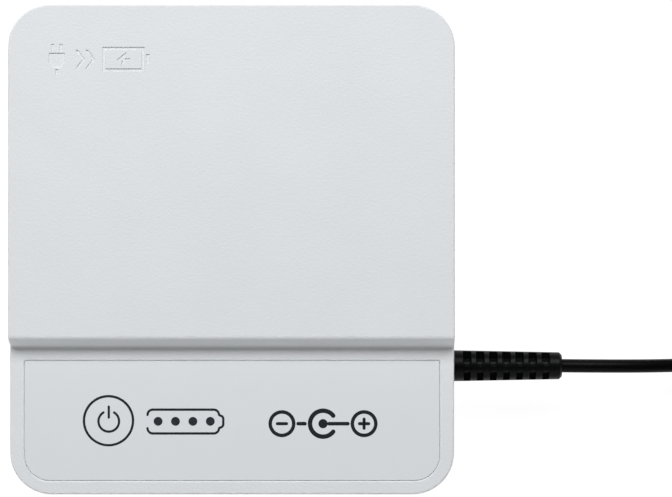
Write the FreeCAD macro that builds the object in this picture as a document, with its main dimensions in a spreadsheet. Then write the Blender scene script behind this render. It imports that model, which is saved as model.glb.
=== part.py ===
import FreeCAD, Part

import math
import os
from types import SimpleNamespace

import Sketcher
from FreeCAD import Placement, Rotation, Vector

# A small uninterruptible power supply for low-voltage equipment. It lies flat: +Z is up, the control strip
# is on the -Y side, and the output lead leaves on the +X side. The origin is under the middle of the case, at
# the bottom of the feet. All lengths are in millimetres.

SIZES = {
    # case
    "case_width": 106.0,
    "case_depth": 116.6,
    "case_corner": 10.0,
    "case_bottom": 1.0,
    "case_top": 28.0,
    "wall": 2.0,
    "parting": 13.0,
    "parting_chamfer": 0.25,
    "top_edge_round": 0.45,
    "bottom_edge_round": 1.5,
    "lip_width": 0.85,
    "lip_height": 1.0,
    "lip_gap": 0.1,
    # step between the deck and the control strip
    "deck_edge": 20.3,
    "deck_edge_round": 1.3,
    "slope_round": 12.0,
    "foot_round": 0.9,
    "step_foot": 23.6,
    "strip_top": 23.5,
    "deck_cavity_front": 19.4,
    # faceplate and its recess
    "plate_width": 99.0,
    "plate_depth": 28.5,
    "plate_middle": 40.71,
    "plate_thickness": 1.5,
    "plate_front_corner": 6.0,
    "plate_rear_corner": 0.3,
    "plate_gap": 0.02,
    "plate_edge_round": 0.13,
    "recess_edge_round": 0.45,
    # power button
    "button_across": 29.5,
    "button_along": 40.7,
    "button_radius": 6.0,
    "button_hole": 6.15,
    "button_flange": 7.3,
    "button_flange_top": 19.7,
    "button_flange_bottom": 18.6,
    "button_hollow": 4.7,
    "button_roof": 21.9,
    "button_stem": 1.7,
    "button_stem_bottom": 18.0,
    "button_edge": 0.12,
    # indicator lamps and light guide
    "lamp_first": 17.66,
    "lamp_pitch": 4.153,
    "lamp_along": 40.85,
    "guide_radius": 1.0,
    "guide_hole": 1.06,
    "guide_foot": 1.5,
    "guide_bottom": 14.6,
    "guide_bar_bottom": 17.4,
    "guide_bar_top": 19.6,
    # case screws, feet, label
    "boss_across": 45.6,
    "boss_along": 50.9,
    "boss_radius": 3.4,
    "screw_head": 2.3,
    "screw_shank": 1.15,
    "screw_well": 2.6,
    "screw_shoulder": 9.0,
    "foot_across": 40.0,
    "foot_along": 44.0,
    "foot_radius": 5.0,
    "foot_recess": 0.6,
    "label_width": 62.0,
    "label_depth": 34.0,
    "label_middle": 12.0,
    "label_recess": 0.3,
    # boards
    "board_bottom": 6.0,
    "board_thickness": 1.5,
    "board_width": 98.0,
    "board_depth": 38.8,
    "board_middle": 27.4,
    "board_hole_across": 45.0,
    "board_hole_rear": 11.4,
    "board_hole_front": 43.2,
    "panel_board_top": 13.5,
    "panel_board_left": 42.4,
    "panel_board_right": 4.4,
    "panel_board_depth": 13.0,
    "panel_screw_left": 39.6,
    "panel_screw_right": 1.6,
    # input jack
    "jack_along": 27.9,
    "jack_width": 9.0,
    "jack_height": 11.0,
    "jack_length": 14.0,
    "jack_face": 52.8,
    "jack_bore": 3.15,
    "jack_bore_depth": 10.5,
    "jack_pin": 1.0,
    "jack_pin_length": 6.5,
    "jack_pin_root": 1.4,
    # battery
    "cell_radius": 9.2,
    "cell_length": 65.0,
    "cell_pitch": 19.4,
    "cell_left": 39.3,
    "cell_first": 4.4,
    "cell_height": 13.4,
    "cradle_floor": 3.1,
    "cradle_top": 11.5,
    # output lead
    "lead_radius": 1.63,
    "lead_along": 28.0,
    "lead_height": 13.0,
    "relief_start": 53.1,
    "relief_end": 79.4,
    "relief_wide": 3.76,
    "relief_narrow": 3.27,
    "relief_core": 1.75,
    "relief_neck": 3.25,
    "relief_flange": 4.8,
    "relief_hole": 3.35,
    "relief_turn": 7.5,
    "slot_first": 56.45,
    "slot_pitch": 3.17,
    "slot_wide": 2.0,
    "slot_narrow": 1.6,
    "slot_wide_corner": 0.95,
    "slot_narrow_corner": 0.7,
    "slot_reach": 6.0,
    "slot_count": 7.0,
    "spine_half": 0.6,
    "web_half": 0.45,
    # coil of spare lead, and its tie
    "coil_across": 135.5,
    "coil_along": 5.2,
    "coil_mean": 18.6,
    "turn_pitch": 3.3,
    "coil_lift": 0.6,
    "tie_thickness": 0.5,
    "tie_width": 7.0,
    # output plug
    "plug_height": 5.0,
    "plug_grip": 5.0,
    "plug_barrel": 2.75,
    "plug_bore": 1.3,
    "plug_barrel_length": 9.5,
}

doc = FreeCAD.newDocument("PowerSupply")
sheet = doc.addObject("Spreadsheet::Sheet", "Sizes")
for row, (alias, number) in enumerate(SIZES.items(), start=1):
    sheet.set(f"A{row}", alias)
    sheet.set(f"B{row}", str(number))
    sheet.setAlias(f"B{row}", alias)
doc.recompute()


class Size:
    """A length that carries both its number and its formula in the sheet's aliases."""

    def __init__(self, number, formula):
        self.number = float(number)
        self.formula = formula

    def __add__(self, other):
        other = as_size(other)
        return Size(self.number + other.number, f"({self.formula} + {other.formula})")

    def __sub__(self, other):
        other = as_size(other)
        return Size(self.number - other.number, f"({self.formula} - {other.formula})")

    def __mul__(self, other):
        other = as_size(other)
        return Size(self.number * other.number, f"({self.formula} * {other.formula})")

    def __truediv__(self, other):
        other = as_size(other)
        return Size(self.number / other.number, f"({self.formula} / {other.formula})")

    def __radd__(self, other):
        return as_size(other) + self

    def __rsub__(self, other):
        return as_size(other) - self

    def __rmul__(self, other):
        return as_size(other) * self

    def __neg__(self):
        return as_size(0) - self


def as_size(amount):
    """A plain number becomes a Size whose formula is that number."""
    if isinstance(amount, Size):
        return amount
    return Size(amount, repr(float(amount)))


size = SimpleNamespace(**{alias: Size(number, f"Sizes.{alias}") for alias, number in SIZES.items()})
pieces = {}


# ---------------------------------------------------------------- ways of building


def bind(item, prop, amount):
    """Tie one property of an object to the sheet."""
    item.setExpression(prop, as_size(amount).formula)


def place(item, x=0, y=0, z=0, axis=None, angle=0):
    """Put an object at a bound position, turned about an axis by an angle in degrees."""
    if axis is not None:
        item.Placement = Placement(Vector(), Rotation(Vector(*axis), angle))
    bind(item, "Placement.Base.x", x)
    bind(item, "Placement.Base.y", y)
    bind(item, "Placement.Base.z", z)
    return item


def keep(name, item):
    """Register a finished sub-part under its own name."""
    item.Label = name
    pieces[name] = item
    return item


def block(x, y, z, length, width, height):
    """A box centred on x and y, standing on z."""
    box = doc.addObject("Part::Box", "Block")
    bind(box, "Length", length)
    bind(box, "Width", width)
    bind(box, "Height", height)
    return place(box, x - as_size(length) / 2, y - as_size(width) / 2, z)


def rod(x, y, z, radius, height, axis=None, angle=0):
    """A cylinder that starts at a point and runs along +Z, or along the turned +Z."""
    cylinder = doc.addObject("Part::Cylinder", "Rod")
    bind(cylinder, "Radius", radius)
    bind(cylinder, "Height", height)
    return place(cylinder, x, y, z, axis, angle)


def rod_along_x(x, y, z, radius, length):
    """A cylinder that starts at a point and runs along +X."""
    return rod(x, y, z, radius, length, (0, 1, 0), 90)


def carve(base, *tools):
    """The base with every tool cut away."""
    cut = doc.addObject("Part::Cut", "Carved")
    cut.Base = base
    cut.Tool = tools[0] if len(tools) == 1 else join(*tools)
    return cut


def join(*items):
    """All items fused into one."""
    fused = doc.addObject("Part::MultiFuse", "Joined")
    fused.Shapes = list(items)
    return fused


def group(*items):
    """Separate identical solids kept in one node."""
    gathered = doc.addObject("Part::Compound", "Group")
    gathered.Links = list(items)
    return gathered


def rounded(item, radius, chosen):
    """The item with its chosen edges rounded; chosen is a test on an edge."""
    doc.recompute()
    fillet = doc.addObject("Part::Fillet", "Rounded")
    fillet.Base = item
    numbers = [n for n, edge in enumerate(item.Shape.Edges, start=1) if chosen(edge)]
    fillet.Edges = [(n, radius, radius) for n in numbers]
    return fillet


def is_upright(edge):
    """True for a straight edge along Z."""
    start, end = edge.Vertexes[0].Point, edge.Vertexes[-1].Point
    return abs((end - start).z) > 0.5 and (end - start).cross(Vector(0, 0, 1)).Length < 1e-6


def new_body(name):
    """An empty PartDesign body."""
    return doc.addObject("PartDesign::Body", name)


def sketch_on(body, name, role="XY_Plane", lift=0, x=0, y=0):
    """A sketch on one of the body's own planes, lifted off it and shifted within it."""
    sketch = body.newObject("Sketcher::SketchObject", name)
    plane = next(item for item in body.Origin.OriginFeatures if item.Role == role)
    sketch.AttachmentSupport = [(plane, "")]
    sketch.MapMode = "FlatFace"
    bind(sketch, "AttachmentOffset.Base.x", x)
    bind(sketch, "AttachmentOffset.Base.y", y)
    bind(sketch, "AttachmentOffset.Base.z", lift)
    return sketch


def constrain(sketch, kind, places, amount):
    """A dimension whose value follows the sheet."""
    amount = as_size(amount)
    index = sketch.addConstraint(Sketcher.Constraint(kind, *places, amount.number))
    sketch.setExpression(f"Constraints[{index}]", amount.formula)


def pin_point(sketch, shape, point, x, y):
    """Dimension one point of a sketch from the origin."""
    for kind, amount, along_axis in (("DistanceX", as_size(x), -2), ("DistanceY", as_size(y), -1)):
        if abs(amount.number) < 1e-9:
            sketch.addConstraint(Sketcher.Constraint("PointOnObject", shape, point, along_axis))
        elif amount.number > 0:
            constrain(sketch, kind, (-1, 1, shape, point), amount)
        else:
            constrain(sketch, kind, (shape, point, -1, 1), -amount)


def draw_polygon(sketch, points):
    """A closed outline through the given points."""
    spots = [Vector(as_size(x).number, as_size(y).number) for x, y in points]
    ends = spots[1:] + spots[:1]
    lines = sketch.addGeometry([Part.LineSegment(a, b) for a, b in zip(spots, ends)], False)
    for line, following in zip(lines, list(lines[1:]) + [lines[0]]):
        sketch.addConstraint(Sketcher.Constraint("Coincident", line, 2, following, 1))
    for line, (x, y) in zip(lines, points):
        pin_point(sketch, line, 1, x, y)


def draw_disc(sketch, x, y, radius):
    """A full circle."""
    centre = Vector(as_size(x).number, as_size(y).number)
    circle = sketch.addGeometry(Part.Circle(centre, Vector(0, 0, 1), as_size(radius).number), False)
    constrain(sketch, "Radius", (circle,), radius)
    pin_point(sketch, circle, 3, x, y)


def draw_panel(sketch, width, depth, front_radius, rear_radius=None):
    """A rectangle about the sketch's origin, with rounded front and rear corners."""
    rear_radius = front_radius if rear_radius is None else rear_radius
    radii = [as_size(r) for r in (front_radius, rear_radius, rear_radius, front_radius)]
    half = (as_size(width).number / 2, as_size(depth).number / 2)
    signs = ((1, -1), (1, 1), (-1, 1), (-1, -1))
    centres = [
        Vector(sx * (half[0] - r.number), sy * (half[1] - r.number)) for (sx, sy), r in zip(signs, radii)
    ]
    outward = [Vector(0, -1), Vector(1, 0), Vector(0, 1), Vector(-1, 0)]
    shapes = []
    for side in range(4):
        before = side - 1
        start = centres[before] + outward[side] * radii[before].number
        end = centres[side] + outward[side] * radii[side].number
        shapes.append(Part.LineSegment(start, end))
        circle = Part.Circle(centres[side], Vector(0, 0, 1), radii[side].number)
        first = math.radians(90 * side - 90)
        shapes.append(Part.ArcOfCircle(circle, first, first + math.pi / 2))
    numbers = sketch.addGeometry(shapes, False)
    lines, arcs = numbers[0::2], numbers[1::2]
    for side in range(4):
        following = lines[(side + 1) % 4]
        sketch.addConstraint(Sketcher.Constraint("Tangent", lines[side], 2, arcs[side], 1))
        sketch.addConstraint(Sketcher.Constraint("Tangent", arcs[side], 2, following, 1))
        sketch.addConstraint(Sketcher.Constraint("Vertical" if side % 2 else "Horizontal", lines[side]))
        constrain(sketch, "Radius", (arcs[side],), radii[side])
    constrain(sketch, "DistanceY", (lines[0], 1, -1, 1), as_size(depth) / 2)
    constrain(sketch, "DistanceX", (-1, 1, lines[1], 1), as_size(width) / 2)
    constrain(sketch, "DistanceY", (-1, 1, lines[2], 1), as_size(depth) / 2)
    constrain(sketch, "DistanceX", (lines[3], 1, -1, 1), as_size(width) / 2)


def add_feature(body, kind, name, sketch, amount, backwards=False, both_ways=False):
    """A pad or a pocket, with the change in volume checked."""
    doc.recompute()
    before = 0.0 if body.Tip is None else body.Shape.Volume
    feature = body.newObject(f"PartDesign::{kind}", name)
    feature.Profile = sketch
    feature.Reversed = backwards
    feature.Midplane = both_ways
    bind(feature, "Length", amount)
    doc.recompute()
    change = body.Shape.Volume - before
    if not feature.isValid() or (change <= 0) == (kind == "Pad"):
        raise RuntimeError(f"{name} changes the volume by {change:.3f}, state {feature.State}")
    return feature


def dress_edges(body, kind, name, amount, chosen):
    """A fillet or chamfer on the chosen edges of the body's last shape."""
    doc.recompute()
    base = body.Tip
    edges = [f"Edge{n}" for n, edge in enumerate(base.Shape.Edges, start=1) if chosen(edge)]
    feature = body.newObject(f"PartDesign::{kind}", name)
    feature.Base = (base, edges)
    bind(feature, "Radius" if kind == "Fillet" else "Size", amount)
    body.Tip = feature
    doc.recompute()
    if not feature.isValid():
        raise RuntimeError(f"{name} failed on {edges}")
    return feature


def lies_at_height(height):
    """A test for edges that lie flat at one height."""

    def chosen(edge):
        box = edge.BoundBox
        return abs(box.ZMin - height) < 1e-4 and abs(box.ZMax - height) < 1e-4

    return chosen


def round_path(points, name=None):
    """Straight runs joined by tangent arcs: each arc is as large as its two runs allow."""
    spots = [Vector(*point) for point in points]
    edges = []
    last = spots[0]
    for before, corner, after in zip(spots, spots[1:], spots[2:]):
        arriving = (corner - before).normalize()
        leaving = (after - corner).normalize()
        trim = 0.45 * min((corner - before).Length, (after - corner).Length)
        half_turn = arriving.getAngle(leaving) / 2
        radius = trim / math.tan(half_turn)
        start = corner - arriving * trim
        end = corner + leaving * trim
        towards_centre = (leaving - arriving).normalize()
        centre = corner + towards_centre * (radius / math.cos(half_turn))
        middle = centre - towards_centre * radius
        edges.append(Part.LineSegment(last, start).toShape())
        edges.append(Part.Arc(start, middle, end).toShape())
        last = end
        if name:
            print(f"{name}: radius {radius:.1f} mm at {tuple(round(v, 1) for v in corner)}")
    edges.append(Part.LineSegment(last, spots[-1]).toShape())
    return Part.Wire(edges)


def tube(name, points, radius, show_radii=False):
    """A round tube along a rounded path, as one solid whose volume is checked."""
    path = round_path(points, name if show_radii else None)
    start = Vector(*points[0])
    direction = Vector(*points[1]) - start
    section = Part.Wire(Part.makeCircle(radius.number, start, direction))
    solid = path.makePipeShell([section], True, False)
    expected = math.pi * radius.number**2 * path.Length
    if abs(solid.Volume - expected) > 0.01 * expected:
        raise RuntimeError(f"{name}: volume {solid.Volume:.1f} is not {expected:.1f}")
    item = doc.addObject("Part::Feature", name)
    item.Shape = solid
    item.Placement = Placement()
    return item


# ---------------------------------------------------------------- case


def draw_step(sketch):
    """The region above the step: deck edge, convex slope and concave foot, all tangent."""
    clear = 40.0
    beyond = size.case_depth
    top_centre = Vector(-size.deck_edge.number, size.case_top.number - size.deck_edge_round.number)
    foot_centre = Vector(-size.step_foot.number, size.strip_top.number + size.foot_round.number)
    reach = size.slope_round.number - size.deck_edge_round.number
    reach_foot = size.slope_round.number + size.foot_round.number
    between = foot_centre - top_centre
    along = (reach**2 - reach_foot**2 + between.Length**2) / (2 * between.Length)
    across = math.sqrt(reach**2 - along**2)
    forward = Vector(between).normalize()
    slope_centre = top_centre + forward * along + Vector(-forward.y, forward.x) * across
    top_join = slope_centre + (top_centre - slope_centre).normalize() * size.slope_round.number
    foot_join = slope_centre + (foot_centre - slope_centre).normalize() * size.slope_round.number
    deck = Vector(-size.deck_edge.number, size.case_top.number)
    foot = Vector(-size.step_foot.number, size.strip_top.number)
    far_foot = Vector(-beyond.number, size.strip_top.number)
    far_top = Vector(-beyond.number, clear)
    near_top = Vector(-size.deck_edge.number, clear)

    def arc(centre, radius, start, end):
        circle = Part.Circle(centre, Vector(0, 0, 1), radius)
        angles = [math.atan2(p.y - centre.y, p.x - centre.x) for p in (start, end)]
        return Part.ArcOfCircle(circle, angles[0], angles[1])

    shapes = [
        Part.LineSegment(near_top, far_top),
        Part.LineSegment(far_top, far_foot),
        Part.LineSegment(far_foot, foot),
        arc(foot_centre, size.foot_round.number, foot, foot_join),
        arc(slope_centre, size.slope_round.number, top_join, foot_join),
        arc(top_centre, size.deck_edge_round.number, deck, top_join),
        Part.LineSegment(deck, near_top),
    ]
    roof, outside, ledge, foot_arc, slope, deck_arc, riser = sketch.addGeometry(shapes, False)
    joints = [
        ("Coincident", roof, 2, outside, 1),
        ("Coincident", outside, 2, ledge, 1),
        ("Tangent", ledge, 2, foot_arc, 1),
        ("Tangent", foot_arc, 2, slope, 2),
        ("Tangent", slope, 1, deck_arc, 2),
        ("Coincident", deck_arc, 1, riser, 1),
        ("Coincident", riser, 2, roof, 1),
        ("Vertical", deck_arc, 3, deck_arc, 1),
    ]
    for joint in joints:
        sketch.addConstraint(Sketcher.Constraint(*joint))
    for line in (roof, ledge):
        sketch.addConstraint(Sketcher.Constraint("Horizontal", line))
    for line in (outside, riser):
        sketch.addConstraint(Sketcher.Constraint("Vertical", line))
    constrain(sketch, "Radius", (foot_arc,), size.foot_round)
    constrain(sketch, "Radius", (slope,), size.slope_round)
    constrain(sketch, "Radius", (deck_arc,), size.deck_edge_round)
    pin_point(sketch, riser, 1, -size.deck_edge, size.case_top)
    pin_point(sketch, ledge, 2, -size.step_foot, size.strip_top)
    constrain(sketch, "DistanceY", (-1, 1, roof, 1), clear)
    constrain(sketch, "DistanceX", (outside, 1, -1, 1), beyond)


def is_case_rim(edge):
    """True for the outline edges along the top of the deck, the slope and the strip."""
    box = edge.BoundBox
    if box.ZMax < size.strip_top.number - 0.1:
        return False
    half_width = size.case_width.number / 2
    half_depth = size.case_depth.number / 2
    on_side = abs(abs(box.XMin) - half_width) < 1e-3 and box.XLength < 1e-3
    on_end = abs(abs(box.YMin) - half_depth) < 1e-3 and box.YLength < 1e-3
    on_corner = (
        box.XLength > 1
        and box.YLength > 1
        and max(abs(box.XMin), abs(box.XMax)) > half_width - 1e-3
        and max(abs(box.YMin), abs(box.YMax)) > half_depth - 1e-3
    )
    flat = box.ZLength < 1e-3
    on_slope = on_side and box.YLength > 0.05 and box.ZMin > size.strip_top.number - 1e-3
    return (flat and (on_end or on_corner)) or on_slope


SIGN_ROW = 45.3
SIGN_LINE = 0.7
SIGN_DEPTH = 0.25
PLUG_ACROSS = -41.4
CHEVRONS_ACROSS = (-37.0, -34.6)
BATTERY_ACROSS = -25.6
BATTERY_HALF = (5.0, 2.9)


def draw_pictograms(sketch):
    """Three plain signs in a row: a plug, two chevrons and a battery with a bolt."""
    line = SIGN_LINE

    def draw_sign(across, points):
        draw_polygon(sketch, [(across + x, SIGN_ROW + y) for x, y in points])

    def box_points(half_length, low, high):
        return [(-half_length, low), (half_length, low), (half_length, high), (-half_length, high)]

    body = [(-1.9, 1.5), (-1.9, -0.7), (-0.9, -2.0), (0.9, -2.0), (1.9, -0.7), (1.9, 1.5)]
    draw_sign(PLUG_ACROSS, body)
    draw_sign(PLUG_ACROSS, box_points(line / 2, -3.7, -2.4))
    for prong in (-1.0, 1.0):
        draw_sign(PLUG_ACROSS + prong, box_points(line / 2, 1.9, 3.6))
    chevron = [(0, 2.2), (line, 2.2), (2.3, 0), (line, -2.2), (0, -2.2), (1.6, 0)]
    for across in CHEVRONS_ACROSS:
        draw_sign(across, chevron)
    half_length, half_width = BATTERY_HALF
    draw_sign(BATTERY_ACROSS, box_points(half_length, -half_width, half_width))
    draw_sign(BATTERY_ACROSS, box_points(half_length - line, line - half_width, half_width - line))
    draw_sign(BATTERY_ACROSS + half_length + 0.75, box_points(0.4, -1.2, 1.2))
    bolt = [(0.7, 1.8), (-1.6, -0.2), (-0.25, -0.2), (-0.7, -1.8), (1.6, 0.2), (0.25, 0.2)]
    draw_sign(BATTERY_ACROSS, bolt)


def corner_bosses(body, name, lift, signs, radius):
    """A sketch with one circle at each chosen case screw."""
    sketch = sketch_on(body, name, lift=lift)
    for across, along in signs:
        draw_disc(sketch, size.boss_across * across, size.boss_along * along, radius)
    return sketch


ALL_CORNERS = ((-1, -1), (1, -1), (1, 1), (-1, 1))
FRONT_CORNERS = ALL_CORNERS[:2]
REAR_CORNERS = ALL_CORNERS[2:]


def cut_side_openings(body):
    """Cut the input jack's opening and the strain relief's hole through the side walls."""
    wall_face = size.case_width / 2
    reach = size.wall * 4
    jack = sketch_on(body, "JackOpening", "YZ_Plane", lift=-wall_face, x=-size.jack_along, y=size.parting)
    draw_panel(jack, size.jack_width + 0.4, size.jack_height + 0.4, 0.5)
    add_feature(body, "Pocket", "JackCut", jack, reach, both_ways=True)
    relief = sketch_on(body, "ReliefHole", "YZ_Plane", lift=wall_face)
    draw_disc(relief, -size.lead_along, size.lead_height, size.relief_hole)
    add_feature(body, "Pocket", "ReliefCut", relief, reach, both_ways=True)


def make_top_cover():
    """The upper shell: deck, slope, control strip with the faceplate's recess, bosses and holes."""
    body = new_body("TopCover")
    outline = sketch_on(body, "CoverOutline", lift=size.parting)
    draw_panel(outline, size.case_width, size.case_depth, size.case_corner)
    add_feature(body, "Pad", "CoverBlock", outline, size.case_top - size.parting)
    step = sketch_on(body, "StepProfile", "YZ_Plane")
    draw_step(step)
    add_feature(body, "Pocket", "StepCut", step, size.case_width * 2, both_ways=True)
    dress_edges(body, "Fillet", "RimRound", size.top_edge_round, is_case_rim)
    at_parting = lies_at_height(size.parting.number)
    dress_edges(body, "Chamfer", "PartingChamfer", size.parting_chamfer, at_parting)

    inner_width = size.case_width - 2 * size.wall
    inner_depth = size.case_depth - 2 * size.wall
    inner_corner = size.case_corner - size.wall
    strip_ceiling = size.strip_top - size.plate_thickness - 0.1 - size.wall
    low = sketch_on(body, "LowCavity", lift=size.parting)
    draw_panel(low, inner_width, inner_depth, inner_corner)
    add_feature(body, "Pocket", "LowCavityCut", low, strip_ceiling - size.parting, backwards=True)
    deck_depth = size.case_depth / 2 - size.wall + size.deck_cavity_front
    deck_middle = (size.case_depth / 2 - size.wall - size.deck_cavity_front) / 2
    high = sketch_on(body, "DeckCavity", lift=size.parting, y=deck_middle)
    draw_panel(high, inner_width, deck_depth, 2.0, inner_corner)
    deck_ceiling = size.case_top - size.wall
    add_feature(body, "Pocket", "DeckCavityCut", high, deck_ceiling - size.parting, backwards=True)
    widened = size.lip_width + size.lip_gap
    rebate = sketch_on(body, "LipRebate", lift=size.parting)
    draw_panel(rebate, inner_width + 2 * widened, inner_depth + 2 * widened, inner_corner + widened)
    add_feature(body, "Pocket", "LipRebateCut", rebate, size.lip_height + size.lip_gap, backwards=True)

    recess = sketch_on(body, "PlateRecess", lift=size.strip_top, y=-size.plate_middle)
    draw_panel(
        recess,
        size.plate_width + 2 * size.plate_gap,
        size.plate_depth + 2 * size.plate_gap,
        size.plate_front_corner + size.plate_gap,
        size.plate_rear_corner + size.plate_gap,
    )
    add_feature(body, "Pocket", "PlateRecessCut", recess, size.plate_thickness + 0.05)

    def is_recess_rim(edge):
        box = edge.BoundBox
        level = abs(box.ZMin - size.strip_top.number) < 1e-4 and box.ZLength < 1e-4
        half_width = size.plate_width.number / 2 + 1
        half_depth = size.plate_depth.number / 2 + 1
        from_middle = max(abs(box.YMin + size.plate_middle.number), abs(box.YMax + size.plate_middle.number))
        return level and max(abs(box.XMin), abs(box.XMax)) < half_width and from_middle < half_depth

    dress_edges(body, "Fillet", "RecessRound", size.recess_edge_round, is_recess_rim)
    holes = sketch_on(body, "ControlHoles", lift=size.strip_top)
    draw_disc(holes, -size.button_across, -size.button_along, size.button_hole)
    for lamp in range(4):
        draw_disc(holes, size.lamp_pitch * lamp - size.lamp_first, -size.lamp_along, size.guide_hole)
    add_feature(body, "Pocket", "ControlHolesCut", holes, size.strip_top - strip_ceiling + 0.5)

    boss_start = size.parting + 0.1
    front = corner_bosses(body, "FrontBosses", boss_start, FRONT_CORNERS, size.boss_radius)
    add_feature(body, "Pad", "FrontBossPads", front, strip_ceiling - boss_start + 0.2)
    rear = corner_bosses(body, "RearBosses", boss_start, REAR_CORNERS, size.boss_radius)
    add_feature(body, "Pad", "RearBossPads", rear, deck_ceiling - boss_start + 0.2)
    pilots = corner_bosses(body, "BossPilots", boss_start, ALL_CORNERS, size.screw_shank + 0.05)
    add_feature(body, "Pocket", "BossPilotCut", pilots, 6.7, backwards=True)
    hangers = sketch_on(body, "BoardHangers", lift=size.panel_board_top + 0.05)
    spots = (-size.panel_screw_left, size.panel_screw_right)
    for across in spots:
        draw_disc(hangers, across, -size.button_along, 2.3)
    add_feature(body, "Pad", "BoardHangerPads", hangers, strip_ceiling - size.panel_board_top + 0.1)
    hanger_pilots = sketch_on(body, "HangerPilots", lift=size.panel_board_top)
    for across in spots:
        draw_disc(hanger_pilots, across, -size.button_along, 1.0)
    add_feature(body, "Pocket", "HangerPilotCut", hanger_pilots, 5.5, backwards=True)

    cut_side_openings(body)
    signs = sketch_on(body, "Pictograms", lift=size.case_top)
    draw_pictograms(signs)
    add_feature(body, "Pocket", "PictogramCut", signs, SIGN_DEPTH)
    keep("top_cover", body)


def make_bottom_cover():
    """The lower shell: floor, lip, screw wells, board standoffs, vents, foot and label recesses."""
    body = new_body("BottomCover")
    outline = sketch_on(body, "TrayOutline", lift=size.case_bottom)
    draw_panel(outline, size.case_width, size.case_depth, size.case_corner)
    add_feature(body, "Pad", "TrayBlock", outline, size.parting - size.case_bottom)
    dress_edges(body, "Fillet", "TrayRound", size.bottom_edge_round, lies_at_height(size.case_bottom.number))
    at_parting = lies_at_height(size.parting.number)
    dress_edges(body, "Chamfer", "PartingChamfer", size.parting_chamfer, at_parting)
    inner_width = size.case_width - 2 * size.wall
    inner_depth = size.case_depth - 2 * size.wall
    inner_corner = size.case_corner - size.wall
    floor_top = size.case_bottom + size.wall
    cavity = sketch_on(body, "TrayCavity", lift=size.parting)
    draw_panel(cavity, inner_width, inner_depth, inner_corner)
    add_feature(body, "Pocket", "TrayCavityCut", cavity, size.parting - floor_top)
    lip = sketch_on(body, "Lip", lift=size.parting)
    draw_panel(lip, inner_width, inner_depth, inner_corner)
    lip_outer = (inner_width + 2 * size.lip_width, inner_depth + 2 * size.lip_width)
    draw_panel(lip, *lip_outer, inner_corner + size.lip_width)
    add_feature(body, "Pad", "LipPad", lip, size.lip_height)
    wells = corner_bosses(body, "WellPosts", floor_top - 0.2, ALL_CORNERS, size.boss_radius)
    add_feature(body, "Pad", "WellPostPads", wells, size.parting - floor_top + 0.2)
    bores = corner_bosses(body, "WellBores", size.case_bottom, ALL_CORNERS, size.screw_well)
    add_feature(body, "Pocket", "WellBoreCut", bores, size.screw_shoulder - size.case_bottom, backwards=True)
    shanks = corner_bosses(body, "ShankBores", size.screw_shoulder - 1, ALL_CORNERS, size.screw_shank + 0.25)
    add_feature(body, "Pocket", "ShankBoreCut", shanks, 6, backwards=True)
    standoffs = sketch_on(body, "Standoffs", lift=floor_top - 0.2)
    pilots = sketch_on(body, "StandoffPilots", lift=floor_top)
    for across in (-1, 1):
        for along in (size.board_hole_rear, size.board_hole_front):
            draw_disc(standoffs, size.board_hole_across * across, -along, 2.6)
            draw_disc(pilots, size.board_hole_across * across, -along, 1.0)
    add_feature(body, "Pad", "StandoffPads", standoffs, size.board_bottom - 0.05 - floor_top + 0.2)
    add_feature(body, "Pocket", "StandoffPilotCut", pilots, 4, backwards=True)

    feet = sketch_on(body, "FootRecesses", lift=size.case_bottom)
    for across, along in ALL_CORNERS:
        draw_disc(feet, size.foot_across * across, size.foot_along * along, size.foot_radius + 0.1)
    add_feature(body, "Pocket", "FootRecessCut", feet, size.foot_recess, backwards=True)
    label = sketch_on(body, "LabelRecess", lift=size.case_bottom, y=size.label_middle)
    draw_panel(label, size.label_width + 0.4, size.label_depth + 0.4, 1.6)
    add_feature(body, "Pocket", "LabelRecessCut", label, size.label_recess, backwards=True)

    vent_pitch = 4.5
    vent_count = 15
    vent = sketch_on(body, "Vent", lift=size.case_bottom, x=-vent_pitch * (vent_count - 1) / 2, y=-27.5)
    draw_panel(vent, 1.7, 18.0, 0.75)
    vent_cut = add_feature(body, "Pocket", "VentCut", vent, 3, backwards=True)
    vents = body.newObject("PartDesign::LinearPattern", "Vents")
    vents.Originals = [vent_cut]
    vents.Direction = (vent, ["H_Axis"])
    vents.Length = vent_pitch * (vent_count - 1)
    vents.Occurrences = vent_count
    body.Tip = vents
    cut_side_openings(body)
    keep("bottom_cover", body)


def make_front_panel():
    """The inset faceplate, with its rounded edge and the holes for the button and the light guide."""
    body = new_body("FrontPanel")
    bottom = size.strip_top - size.plate_thickness
    outline = sketch_on(body, "PanelOutline", lift=bottom, y=-size.plate_middle)
    draw_panel(outline, size.plate_width, size.plate_depth, size.plate_front_corner, size.plate_rear_corner)
    add_feature(body, "Pad", "PanelPad", outline, size.plate_thickness)
    top = lies_at_height(size.strip_top.number)
    dress_edges(body, "Fillet", "PanelRound", size.plate_edge_round, top)
    holes = sketch_on(body, "PanelHoles", lift=size.strip_top)
    draw_disc(holes, -size.button_across, -size.button_along, size.button_hole)
    for lamp in range(4):
        draw_disc(holes, size.lamp_pitch * lamp - size.lamp_first, -size.lamp_along, size.guide_hole)
    add_feature(body, "Pocket", "PanelHolesCut", holes, 3)
    keep("front_panel", body)


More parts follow.
